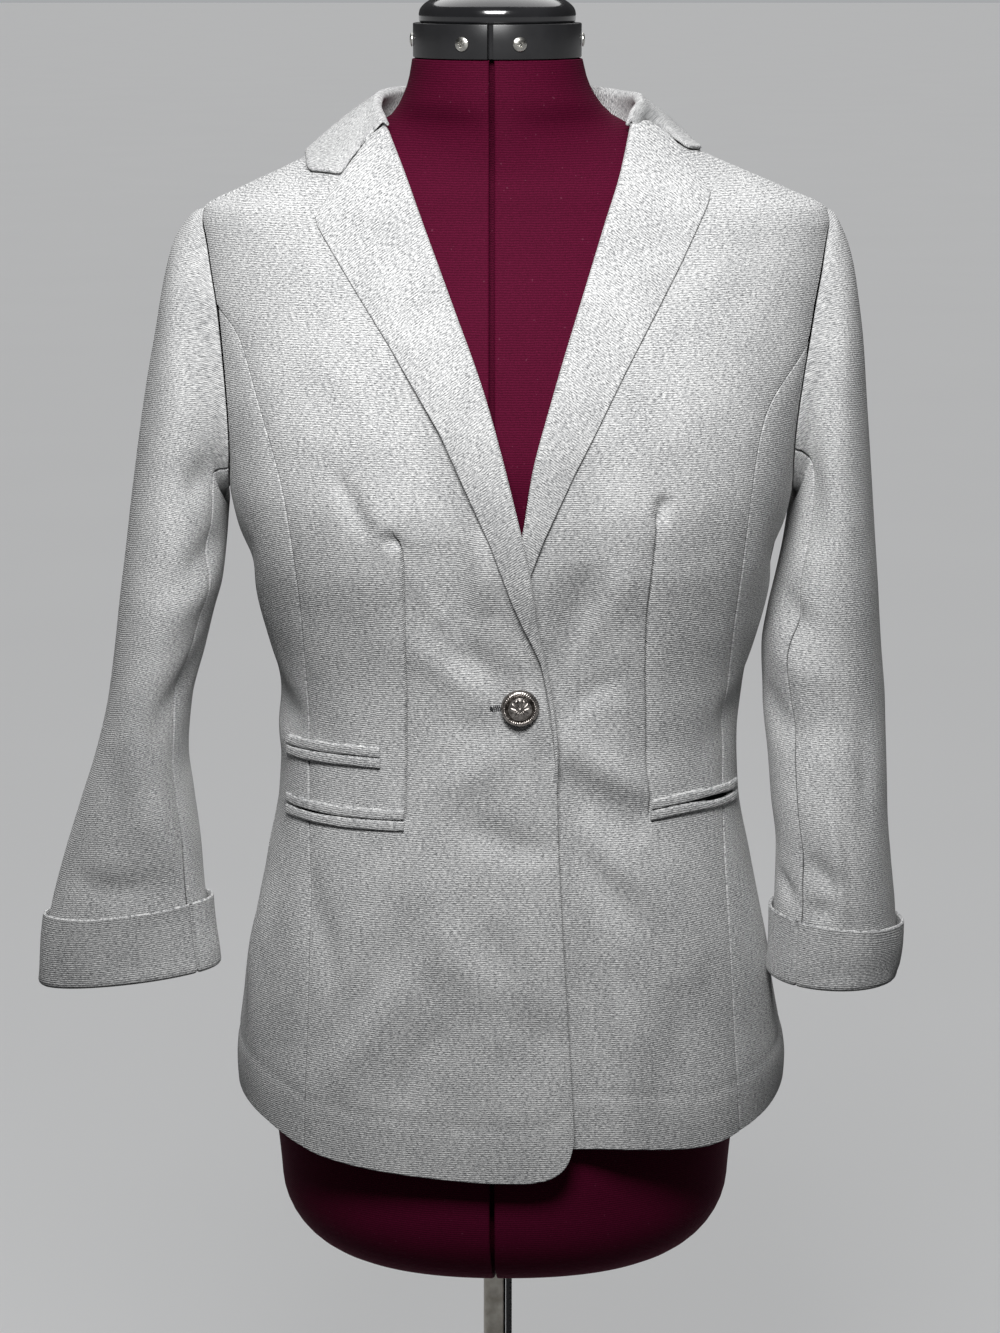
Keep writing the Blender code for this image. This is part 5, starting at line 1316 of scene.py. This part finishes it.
def build_buttonhole(thread):
    """Close stitches round the hole, of which the button leaves the outer end showing."""
    x, z = WAIST_BUTTON
    half, wide, slope, corner = 0.0113, 0.0011, 0.10, 0.0009
    side, end = 1.7, 0.3  # the way round, 4 in all, goes along a side and then round an end
    points, faces = [], []
    for loop in np.arange(46) * 4 / 46:
        if loop < side:
            at, low = -half + 2 * half * loop / side, 1.0
        elif loop < side + end:
            at, low = half, 1.0 - 2 * (loop - side) / end
        elif loop < 2 * side + end:
            at, low = half - 2 * half * (loop - side - end) / side, -1.0
        else:
            at, low = -half, -1.0 + 2 * (loop - 2 * side - end) / end
        turn = math.copysign(1.0, at) * max(abs(at) - half + corner, 0) / corner
        centre = (x - 0.0062 + at + 0.0004 * turn, z + at * slope + wide * low * 0.85)
        way = (turn * 0.9, low) if abs(low) + abs(turn) else (0, 1.0)
        points += stitch(centre, unit(np.array(way)))
        faces += [[i + len(points) - 30 for i in face] for face in tube_faces(5, 6, capped=(0, -1))]
    place_piece(mesh_object("buttonhole", np.array(points), faces, None, thread, 60), "grey_knit")


def stitch(centre, way):
    """One rounded thread stitch on the front: a six-sided tube with pointed ends."""
    points = []
    across = np.array((-way[1], way[0]))
    for share, size in ((0.0, 0.25), (0.18, 0.85), (0.5, 1.0), (0.82, 0.85), (1.0, 0.25)):
        for a in np.radians(np.arange(0, 360, 60)):
            flat = (np.array(centre) + way * STITCH_LONG * (share - 0.5)
                    + across * STITCH_R * size * math.cos(a))
            height = (0.0002 + STITCH_R * (0.4 + size * math.sin(a))
                      + 0.0002 * math.sin(math.pi * share))
            points.append(tuple(lifted(flat, height + front_shift(*flat))))
    return points


def front_shift(x, z):
    """How far the right front's creases move its surface here."""
    point = lifted(np.array([[[x, z]]]), 0.0)
    shift = creases(point, BODY_CREASES[-1]) + ripple(point, BODY_RIPPLE, BODY_SEED[-1])
    return float(shift[0, 0])


# ---- dress form and stand ----
FORM_STRIP = 16.0  # degrees each side of the front middle where the rings follow the groove
# The valley behind the lowest part of the jacket's opening: x and z, size, and depth.
VALLEY = (0.002, 1.045)
VALLEY_SIZE = (0.026, 0.048)
VALLEY_DEEP = 0.014
NECK = (0.0, 0.008)  # x and y of the neck's axis
BAND = (1.3790, 1.4005, 0.0535)  # bottom, top and radius of the neck band
CAP_TOP = 1.4228
# Screws in the band: degrees round it, and height.
SCREWS = (("front_right", 246, 1.3885), ("front_left", 285, 1.3885),
          ("side_right", 182, 1.3900), ("side_left", -2, 1.3900))


def build_form(jersey):
    foot, top = FORM[0, 0], FORM[-1, 0]
    # Height of each ring, and how far it is drawn in at the rounded foot and top.
    rows = [(foot + FORM_ROUND * (1 - math.cos(a)), FORM_ROUND * (1 - math.sin(a)))
            for a in np.radians(np.linspace(0, 90, 12))]
    rows += [(z, 0.0) for z in np.arange(foot + FORM_ROUND + 0.006, top - 0.004, 0.006)]
    rows += [(top - d, 0.0) for d in (0.0025, 0.0014, 0.0006)]
    rows += [(top - 0.0001, 0.0012), (top, 0.004)]
    half = np.linspace(180, FORM_STRIP, 68)
    groove = [(-GROOVE / 2 - off, deep) for off, deep in (
        (0.0016, 0.0), (0.0008, 0.0002), (0.0002, 0.0008), (0.0, 0.0018), (0.0, GROOVE_DEEP))]
    groove += [(-off, deep) for off, deep in groove[::-1]]
    rings = []
    for z, inset in rows:
        ring = np.concatenate([section(FORM, -half, z), front_strip(z, groove),
                               section(FORM, half[::-1][:-1], z)])
        ring[:, 1] += hollow(ring)
        rings.append(ring - unit(ring - (curve(FORM, 1, z), FORM[0, 3], z)) * inset)
    rings = np.array(rings)
    made = mesh_from("form_body", rings.reshape(-1, 3),
                     tube_faces(*rings.shape[:2], capped=(0, -1)), jersey, 50)
    place_piece(made, "maroon_jersey", "form_torso")


def hollow(points):
    """The shallow valley between the busts, which the closed front stands away from."""
    x, y, z = points.T
    across, up = (x - VALLEY[0]) / VALLEY_SIZE[0], (z - VALLEY[1]) / VALLEY_SIZE[1]
    return VALLEY_DEEP * np.exp(-across ** 2 - up ** 2) * (y < 0)


def front_strip(z, groove):
    """The ring's front points, even in x on both sides of the groove."""
    left, right = (section(FORM, angle, z)[0] for angle in (-FORM_STRIP, FORM_STRIP))
    strip = [front_of(FORM, x, z) for x in np.linspace(left, GROOVE_X + groove[0][0], 12)[1:-1]]
    strip += [front_of(FORM, GROOVE_X + off, z) + (0, deep, 0) for off, deep in groove]
    strip += [front_of(FORM, x, z) for x in np.linspace(GROOVE_X + groove[-1][0], right, 12)[1:-1]]
    return np.array(strip)


def build_neck(black, gloss, steel):
    low, high, radius = BAND
    place = (*NECK, 0.0)
    soft = 0.0008
    ring = [(radius - 0.006, low), (radius - soft, low), (radius - soft * 0.3, low + soft * 0.3),
            (radius, low + soft), (radius, high - soft), (radius - soft * 0.3, high - soft * 0.3),
            (radius - soft, high), (radius - 0.006, high)]
    opening, middle = 4.2, 270 - 4.7  # degrees: the gap at the front, and where it lies
    for word, sector in (("right", (middle - 180 + 0.2, middle - opening / 2)),
                         ("left", (middle + opening / 2, middle + 180 - 0.2))):
        turned("band_" + word, ring, 110, black, "satin_black", "neck_band_" + word, place,
               sector=sector)
    core = radius - 0.0064
    side, shoulder = 0.0498, high + 0.0056
    dome = [(0, low + 0.0002), (core, low + 0.0002), (core, high + 0.0003), (0.0486, high + 0.0004),
            (0.0494, high + 0.0008), (side, high + 0.0018), (side, shoulder)]
    dome += [(side * math.cos(a), shoulder + (CAP_TOP - shoulder) * math.sin(a))
             for a in np.radians(np.linspace(8, 90, 20))[:-1]] + [(0.0, CAP_TOP)]
    turned("cap", dome, 128, gloss, "gloss_black", "neck_cap", place, 40)
    dial = [(0, 1.4232), (0.0215, 1.4232), (0.0225, 1.4240), (0.0225, 1.4326), (0.0222, 1.4338),
            (0.0212, 1.4346), (0.0196, 1.4350), (0.0150, 1.4350), (0.0140, 1.4346), (0, 1.4346)]
    made = turned("dial", dial, 144, gloss, "gloss_black", "neck_dial", place, 30)
    # Finger ribs round the dial's side.
    for vertex in made.data.vertices:
        x, y = vertex.co.x - MIDDLE_X - NECK[0], vertex.co.y - NECK[1]
        if math.hypot(x, y) > 0.0218 and 1.4236 < vertex.co.z < 1.4342:
            shrink = 1 - 0.016 * (1 + math.cos(36 * math.atan2(y, x))) / 2
            vertex.co.x = MIDDLE_X + NECK[0] + x * shrink
            vertex.co.y = NECK[1] + y * shrink
    for word, bearing, height in SCREWS:
        out = np.array((math.cos(math.radians(bearing)), math.sin(math.radians(bearing)), 0))
        cross_screw("head_" + word, "screw_" + word,
                    np.array(place) + out * (radius + 0.0004) + (0, 0, height), out,
                    math.radians(bearing * 0.7), steel)


def cross_screw(name, node, centre, out, spin, steel):
    """A domed screw head with a cross recess."""
    r, t = polar(np.concatenate([np.linspace(0, 0.0024, 16), np.linspace(0.0026, 0.0044, 9)]), 5.0)
    x, y = r * np.cos(t), r * np.sin(t)
    c, s = math.cos(spin), math.sin(spin)
    u, v = np.abs(x * c + y * s), np.abs(-x * s + y * c)
    arm = np.maximum(*(smooth(-a, -0.00060, -0.00038) * smooth(-b, -0.0022, -0.0017)
                       for a, b in ((u, v), (v, u))))
    height = 0.0017 * np.sqrt(np.maximum(1 - (r / 0.0047) ** 2, 0)) - 0.0011 * arm
    rings = np.stack([x, y, height], -1)
    rings = np.concatenate([rings, rings[-1:] * (1, 1, 0)])  # the foot under the head's rim
    side = np.cross((0, 0, 1), out)
    rings = rings @ np.array([side, np.cross(out, side), out]) + centre
    made = mesh_from(name, rings.reshape(-1, 3),
                     tube_faces(*rings.shape[:2], tips=(0,), capped=(-1,)), steel, 50)
    place_piece(made, "screw_steel", node)


def build_stand(pole_finish, rack_finish, base_finish):
    axis = (-MIDDLE_X, 0, 0)
    top = FORM[0, 0] - 0.0003
    low = HUB_TOP + 0.0003
    soft = 0.0004
    pole = [(0, low), (POLE_R - soft, low), (POLE_R, low + soft), (POLE_R, top - soft),
            (POLE_R - soft, top), (0, top)]
    turned("stand_pole", pole, 64, pole_finish, "pole_metal", "pole", axis)
    build_rack(POLE_R + 0.0003 - MIDDLE_X, low, top, rack_finish)
    r, t, h = BASE_R, BASE_TOP, HUB_TOP
    profile = [(0, 0.0), (r - 0.001, 0.0), (r - 0.0003, 0.0003), (r, 0.0010), (r, 0.0068),
               (r - 0.0006, 0.0088), (r - 0.0024, 0.0106), (r - 0.0060, 0.0122), (0.100, 0.0142),
               (0.0330, t - 0.0004), (0.0300, t + 0.0006), (0.0284, t + 0.0030),
               (0.0262, h - 0.0056), (0.0252, h - 0.0026), (0.0236, h - 0.0006), (0.0220, h),
               (0.0086, h), (0.0080, h - 0.0006), (0, h - 0.0006)]
    turned("stand_base", profile, 160, base_finish, "base_metal", "base", axis, 45)


def build_rack(start, low, top, finish):
    """A toothed strip: a backbone whose outer side steps in between the teeth."""
    full, deep, half = start + RACK[0], start + RACK[0] * 0.62, RACK[1] / 2
    side = [(full, low)]
    for z in np.arange(low + 0.001, top - 0.004, 0.004):
        side += [(full, z + 0.0022), (deep, z + 0.0028), (deep, z + 0.0036), (full, z + 0.0040)]
    side += [(full, top)]
    side = [p for k, p in enumerate(side) if k == 0 or p[1] > side[k - 1][1] + 1e-5]
    points = [point for x, z in side
              for point in ((start, -half, z), (x, -half, z), (x, half, z), (start, half, z))]
    made = mesh_from("stand_rack", points, tube_faces(len(side), 4, capped=(0, -1)), finish, 30)
    place_piece(made, "rack_black", "rack")


# ---- materials ----
RIB = 0.00138  # the knit's ribs
COURSE = 0.00148  # the jersey's courses
KNIT_COLOURS = ((0.40, (0.16, 0.162, 0.166)), (0.47, (0.39, 0.395, 0.40)),
                (0.53, (0.60, 0.602, 0.60)), (0.60, (0.82, 0.82, 0.81)))


class Nodes:
    """The node tree of a material or world, with short ways to add to it."""

    def __init__(self, block, shader):
        block.use_nodes = True
        self.block = block
        self.tree = block.node_tree
        self.shader = self.tree.nodes[shader]

    def feed(self, node, inputs):
        """Links each input to a socket, or gives it a value."""
        for key, value in inputs.items():
            if isinstance(value, bpy.types.NodeSocket):
                self.tree.links.new(value, node.inputs[key])
            else:
                node.inputs[key].default_value = value

    def add(self, kind, inputs=None, **settings):
        node = self.tree.nodes.new(kind)
        for key, value in settings.items():
            setattr(node, key, value)
        self.feed(node, inputs or {})
        return node

    def calc(self, kind, *values):
        return self.add("ShaderNodeMath", dict(enumerate(values)), operation=kind).outputs[0]

    def vector(self, kind, inputs):
        return self.add("ShaderNodeVectorMath", inputs, operation=kind).outputs[0]

    def place(self):
        """The place on the object in metres."""
        return self.add("ShaderNodeTexCoord").outputs["Object"]

    def cloth_place(self):
        """The place on the cloth in metres."""
        return self.add("ShaderNodeUVMap", uv_map="UVMap").outputs["UV"]

    def noise(self, place, scale, detail, **more):
        inputs = {"Vector": place, "Scale": scale, "Detail": detail, **more}
        return self.add("ShaderNodeTexNoise", inputs).outputs["Fac"]

    def ramp(self, value, *stops):
        """A colour ramp over a value, from (place, colour) pairs."""
        node = self.add("ShaderNodeValToRGB", {"Fac": value})
        band = node.color_ramp
        while len(band.elements) < len(stops):
            band.elements.new(0.5)
        for element, (at, colour) in zip(band.elements, stops):
            element.position = at
            element.color = (*colour, 1)
        return node.outputs["Color"]

    def dress(self, inputs, height=None, strength=0.0, distance=0.0):
        """Feeds the shader, with a bump over a height."""
        self.feed(self.shader, inputs)
        if height is not None:
            bump = self.add("ShaderNodeBump", {"Height": height, "Strength": strength,
                                               "Distance": distance})
            self.feed(self.shader, {"Normal": bump.outputs["Normal"]})
        return self.block


def new_finish(name, roughness, metallic=0.0):
    made = Nodes(bpy.data.materials.new(name), "Principled BSDF")
    made.dress({"Roughness": roughness, "Metallic": metallic})
    return made


def knit():
    """Light grey heather double knit: fine ribs across, with dark and pale flecks along them."""
    made = new_finish("grey_heather_knit", 0.92)
    place = made.cloth_place()
    wobble = made.add("ShaderNodeTexNoise", {"Vector": place, "Scale": 90.0, "Detail": 1.0})
    waver = made.vector("SCALE", {0: wobble.outputs["Color"], "Scale": 0.0012})
    bent = made.vector("ADD", {0: place, 1: waver})
    parts = made.add("ShaderNodeSeparateXYZ", {"Vector": bent})

    def flecks(width, height, detail=1.0):
        """Noise in flecks of this width and height."""
        scaled = made.vector("MULTIPLY", {0: bent, 1: (1 / width, 1 / height, 0)})
        return made.noise(scaled, 1.0, detail, Roughness=0.6)

    calc = made.calc
    rib = calc("SINE", calc("MULTIPLY", parts.outputs["Y"], 2 * math.pi / RIB))
    rib = calc("MULTIPLY_ADD", rib, 0.5, 0.5)
    long_fleck = flecks(0.0026, 0.00066)
    fleck = flecks(0.0013, 0.00060, 2.0)
    fine = flecks(0.0005, 0.00045)
    broad = made.noise(place, 30.0, 3.0)
    mixed = calc("ADD", calc("MULTIPLY", long_fleck, 0.42),
                 calc("MULTIPLY_ADD", fleck, 0.38, calc("MULTIPLY", fine, 0.20)))
    mixed = calc("ADD", mixed, calc("MULTIPLY_ADD", rib, 0.060, -0.030))
    mixed = calc("ADD", mixed, calc("MULTIPLY_ADD", broad, 0.08, -0.04))
    height = calc("MULTIPLY_ADD", fine, 0.8,
                  calc("MULTIPLY_ADD", rib, 0.8, calc("MULTIPLY", fleck, 0.8)))
    return made.dress({"Base Color": made.ramp(mixed, *KNIT_COLOURS),
                       "Roughness": calc("MULTIPLY_ADD", fine, 0.10, 0.86), "Sheen Weight": 0.15,
                       "Sheen Roughness": 0.6, "Specular IOR Level": 0.2}, height, 0.8, 0.00030)


def thread_finish():
    """Dark twisted thread of the buttonhole."""
    made = new_finish("dark_thread", 0.7)
    twist = made.add("ShaderNodeTexWave",
                     {"Vector": made.place(), "Scale": 900.0, "Distortion": 2.0}).outputs["Fac"]
    colour = made.ramp(twist, (0.0, (0.012, 0.012, 0.014)), (1.0, (0.050, 0.052, 0.056)))
    return made.dress({"Base Color": colour})


def pocket_bag_finish_and_painted_shade():
    """Dark, plain woven cloth of the pocket bags: its near-black colour is partly the cloth's own
    and partly painted shade of the pocket's inside.
    """
    made = new_finish("bag_cloth_and_painted_shade", 0.9)
    parts = made.add("ShaderNodeSeparateXYZ", {"Vector": made.cloth_place()})
    warp, weft = (made.calc("SINE", made.calc("MULTIPLY", parts.outputs[axis], 9000.0))
                  for axis in "XY")
    over = made.calc("MULTIPLY_ADD", made.calc("MULTIPLY", warp, weft), 0.5, 0.5)
    # Colours near black: partly the pocketing's own, partly painted shade inside the opening.
    colour = made.ramp(over, (0.0, (0.020, 0.021, 0.024)), (1.0, (0.050, 0.052, 0.058)))
    return made.dress({"Base Color": colour}, over, 0.4, 0.0001)


def metal(name, dark, light, roughness, scale, speck=0.05):
    """Metal with fine unevenness in colour and polish."""
    made = new_finish(name, roughness, 1.0)
    cloud = made.noise(made.place(), scale, 4.0)
    return made.dress({"Base Color": made.ramp(cloud, (0.35, dark), (0.68, light)),
                       "Roughness": made.calc("MULTIPLY_ADD", cloud, 0.25, roughness - 0.12)},
                      cloud, speck, 0.0002)


def plastic(name, colour, roughness, grain=0.1, coat=0.0):
    """Moulded plastic or enamel with faint grain and handling marks."""
    made = new_finish(name, roughness)
    place = made.place()
    cloud = made.noise(place, 40.0, 5.0)
    fine = made.noise(place, 1400.0, 1.0)
    light = tuple(min(c * 1.5 + 0.004, 1) for c in colour)
    return made.dress({"Base Color": made.ramp(cloud, (0.3, colour), (0.75, light)),
                       "Roughness": made.calc("MULTIPLY_ADD", cloud, 0.16, roughness - 0.08),
                       "Coat Weight": coat, "Coat Roughness": 0.08}, fine, grain, 0.00015)


def jersey_finish():
    """Maroon jersey stretched over the form: fine courses that run across, with a little lint."""
    made = new_finish("maroon_ribbed_jersey", 0.8)
    place, calc = made.place(), made.calc
    parts = made.add("ShaderNodeSeparateXYZ", {"Vector": place})
    noise = made.noise(place, 1500.0, 1.0)
    bent = calc("MULTIPLY_ADD", made.noise(place, 160.0, 2.0), 0.0010, parts.outputs["Z"])
    course = calc("SINE", calc("MULTIPLY", bent, 2 * math.pi / COURSE))
    dip = calc("MULTIPLY_ADD", course, 0.5, 0.5)
    lint = made.ramp(made.noise(place, 480.0, 0.0), (0.82, (0.0,) * 3), (0.86, (0.30,) * 3))
    mixed = calc("ADD", calc("MULTIPLY", dip, 0.30), calc("MULTIPLY", noise, 0.70))
    colour = made.ramp(mixed, (0.25, (0.042, 0.0009, 0.0095)), (0.50, (0.068, 0.0016, 0.0165)),
                       (0.80, (0.105, 0.0042, 0.0270)))
    # Inputs 0, 6 and 7 of a colour mix are the factor and its two colours.
    mix = made.add("ShaderNodeMix", {0: lint, 6: colour, 7: (0.20, 0.06, 0.10, 1)},
                   data_type="RGBA").outputs[2]
    height = calc("MULTIPLY_ADD", dip, 0.7, calc("MULTIPLY", noise, 0.7))
    return made.dress({"Base Color": mix, "Specular IOR Level": 0.08}, height, 0.5, 0.0002)


# ---- room and camera ----
FLOOR_REACH = 80.0
KEY_PLACE = (-0.05, -0.90, 1.92)  # a small soft box in front, above the camera
KEY_TARGET = (0.0, -0.10, 1.15)
KEY_SIZE = (0.5, 0.35)
KEY_POWER = 4.3
KEY_SPREAD = 82  # degrees
CEILING_POWER = 2.0
CEILING_WIDTH = 70  # degrees
CEILING_WAY = (0.0, -0.5, -0.86)  # from behind and above
WORLD_FILL = 0.045  # the world as a light
BACKGROUND_GLOW = 0.40  # and as the camera sees it
CAMERA_PLACE = (0.0037, -2.1, 1.45)
CAMERA_TILT = 77.5  # degrees from straight down
FOCAL_PIXELS = 3266  # focal length in a picture of this height
PICTURE_HEIGHT = 1333


def build_room():
    """A plain pale floor that runs on to the horizon."""
    floor = new_finish("pale_floor", 0.7)
    cloud = floor.noise(floor.place(), 1.5, 2.0)
    floor.dress({"Base Color": floor.ramp(cloud, (0.3, (0.70, 0.705, 0.71)),
                                          (0.7, (0.71, 0.715, 0.72)))})
    corners = [(x * FLOOR_REACH, y * FLOOR_REACH, -0.0005)
               for x, y in ((-1, -1), (1, -1), (1, 1), (-1, 1))]
    made = mesh_object("room", corners, [(0, 1, 2, 3)], None, floor.block)
    made.visible_diffuse = False  # the floor throws no light back onto the object


def add_light(name, kind, power, way, place=(0, 0, 0)):
    """A lamp that shines this way."""
    lamp = bpy.data.lights.new(name, kind)
    lamp.energy = power
    made = shown(name, lamp)
    made.location = place
    made.rotation_euler = Vector(way).to_track_quat("-Z", "Y").to_euler()
    return lamp


def build_lights():
    way = Vector(KEY_TARGET) - Vector(KEY_PLACE)
    key = add_light("key_front", "AREA", KEY_POWER, way, KEY_PLACE)
    key.shape = "RECTANGLE"
    key.size, key.size_y = KEY_SIZE
    key.spread = math.radians(KEY_SPREAD)
    # A wide soft ceiling lights the floor, the shoulders and the back evenly.
    ceiling = add_light("ceiling", "SUN", CEILING_POWER, CEILING_WAY)
    ceiling.angle = math.radians(CEILING_WIDTH)


def build_world():
    """Dim fill, with a pale plain background behind the object."""
    world = Nodes(bpy.data.worlds.new("studio"), "Background")
    seen = world.add("ShaderNodeLightPath").outputs["Is Camera Ray"]
    strength = world.calc("MULTIPLY_ADD", seen, BACKGROUND_GLOW - WORLD_FILL, WORLD_FILL)
    bpy.context.scene.world = world.dress({"Color": (0.95, 0.97, 1.0, 1), "Strength": strength})
    bpy.context.scene.view_settings.view_transform = "Standard"


def build_camera():
    lens = bpy.data.cameras.new("camera")
    lens.sensor_width = 36
    lens.lens = lens.sensor_width * FOCAL_PIXELS / PICTURE_HEIGHT
    made = shown("camera", lens)
    made.location = CAMERA_PLACE
    made.rotation_euler = (math.radians(CAMERA_TILT), 0, 0)
    bpy.context.scene.camera = made


def main():
    grey, dark, thread, jersey = knit(), pocket_bag_finish_and_painted_shade(), thread_finish(), jersey_finish()
    gunmetal = metal("gunmetal", (0.15, 0.135, 0.125), (0.42, 0.39, 0.365), 0.34, 350.0, 0.03)
    steel = metal("screw_steel_finish", (0.42, 0.41, 0.38), (0.66, 0.65, 0.61), 0.30, 300.0)
    pole_finish = metal("pole_steel", (0.24, 0.225, 0.195), (0.42, 0.40, 0.36), 0.36, 90.0)
    black = plastic("satin_black_band", (0.012, 0.012, 0.013), 0.36)
    gloss = plastic("gloss_black_cap", (0.010, 0.010, 0.011), 0.16, 0.03, 0.6)
    rack_black = plastic("rack_black_finish", (0.014, 0.014, 0.015), 0.5, 0.2)
    enamel = plastic("base_enamel", (0.035, 0.036, 0.040), 0.45, 0.35)
    build_body(grey)
    build_sleeves(grey)
    build_lapels(grey)
    build_collar(grey)
    build_pockets(grey, dark)
    build_button(gunmetal, thread)
    build_form(jersey)
    build_neck(black, gloss, steel)
    build_stand(pole_finish, rack_black, enamel)
    build_room()
    build_lights()
    build_world()
    build_camera()


main()
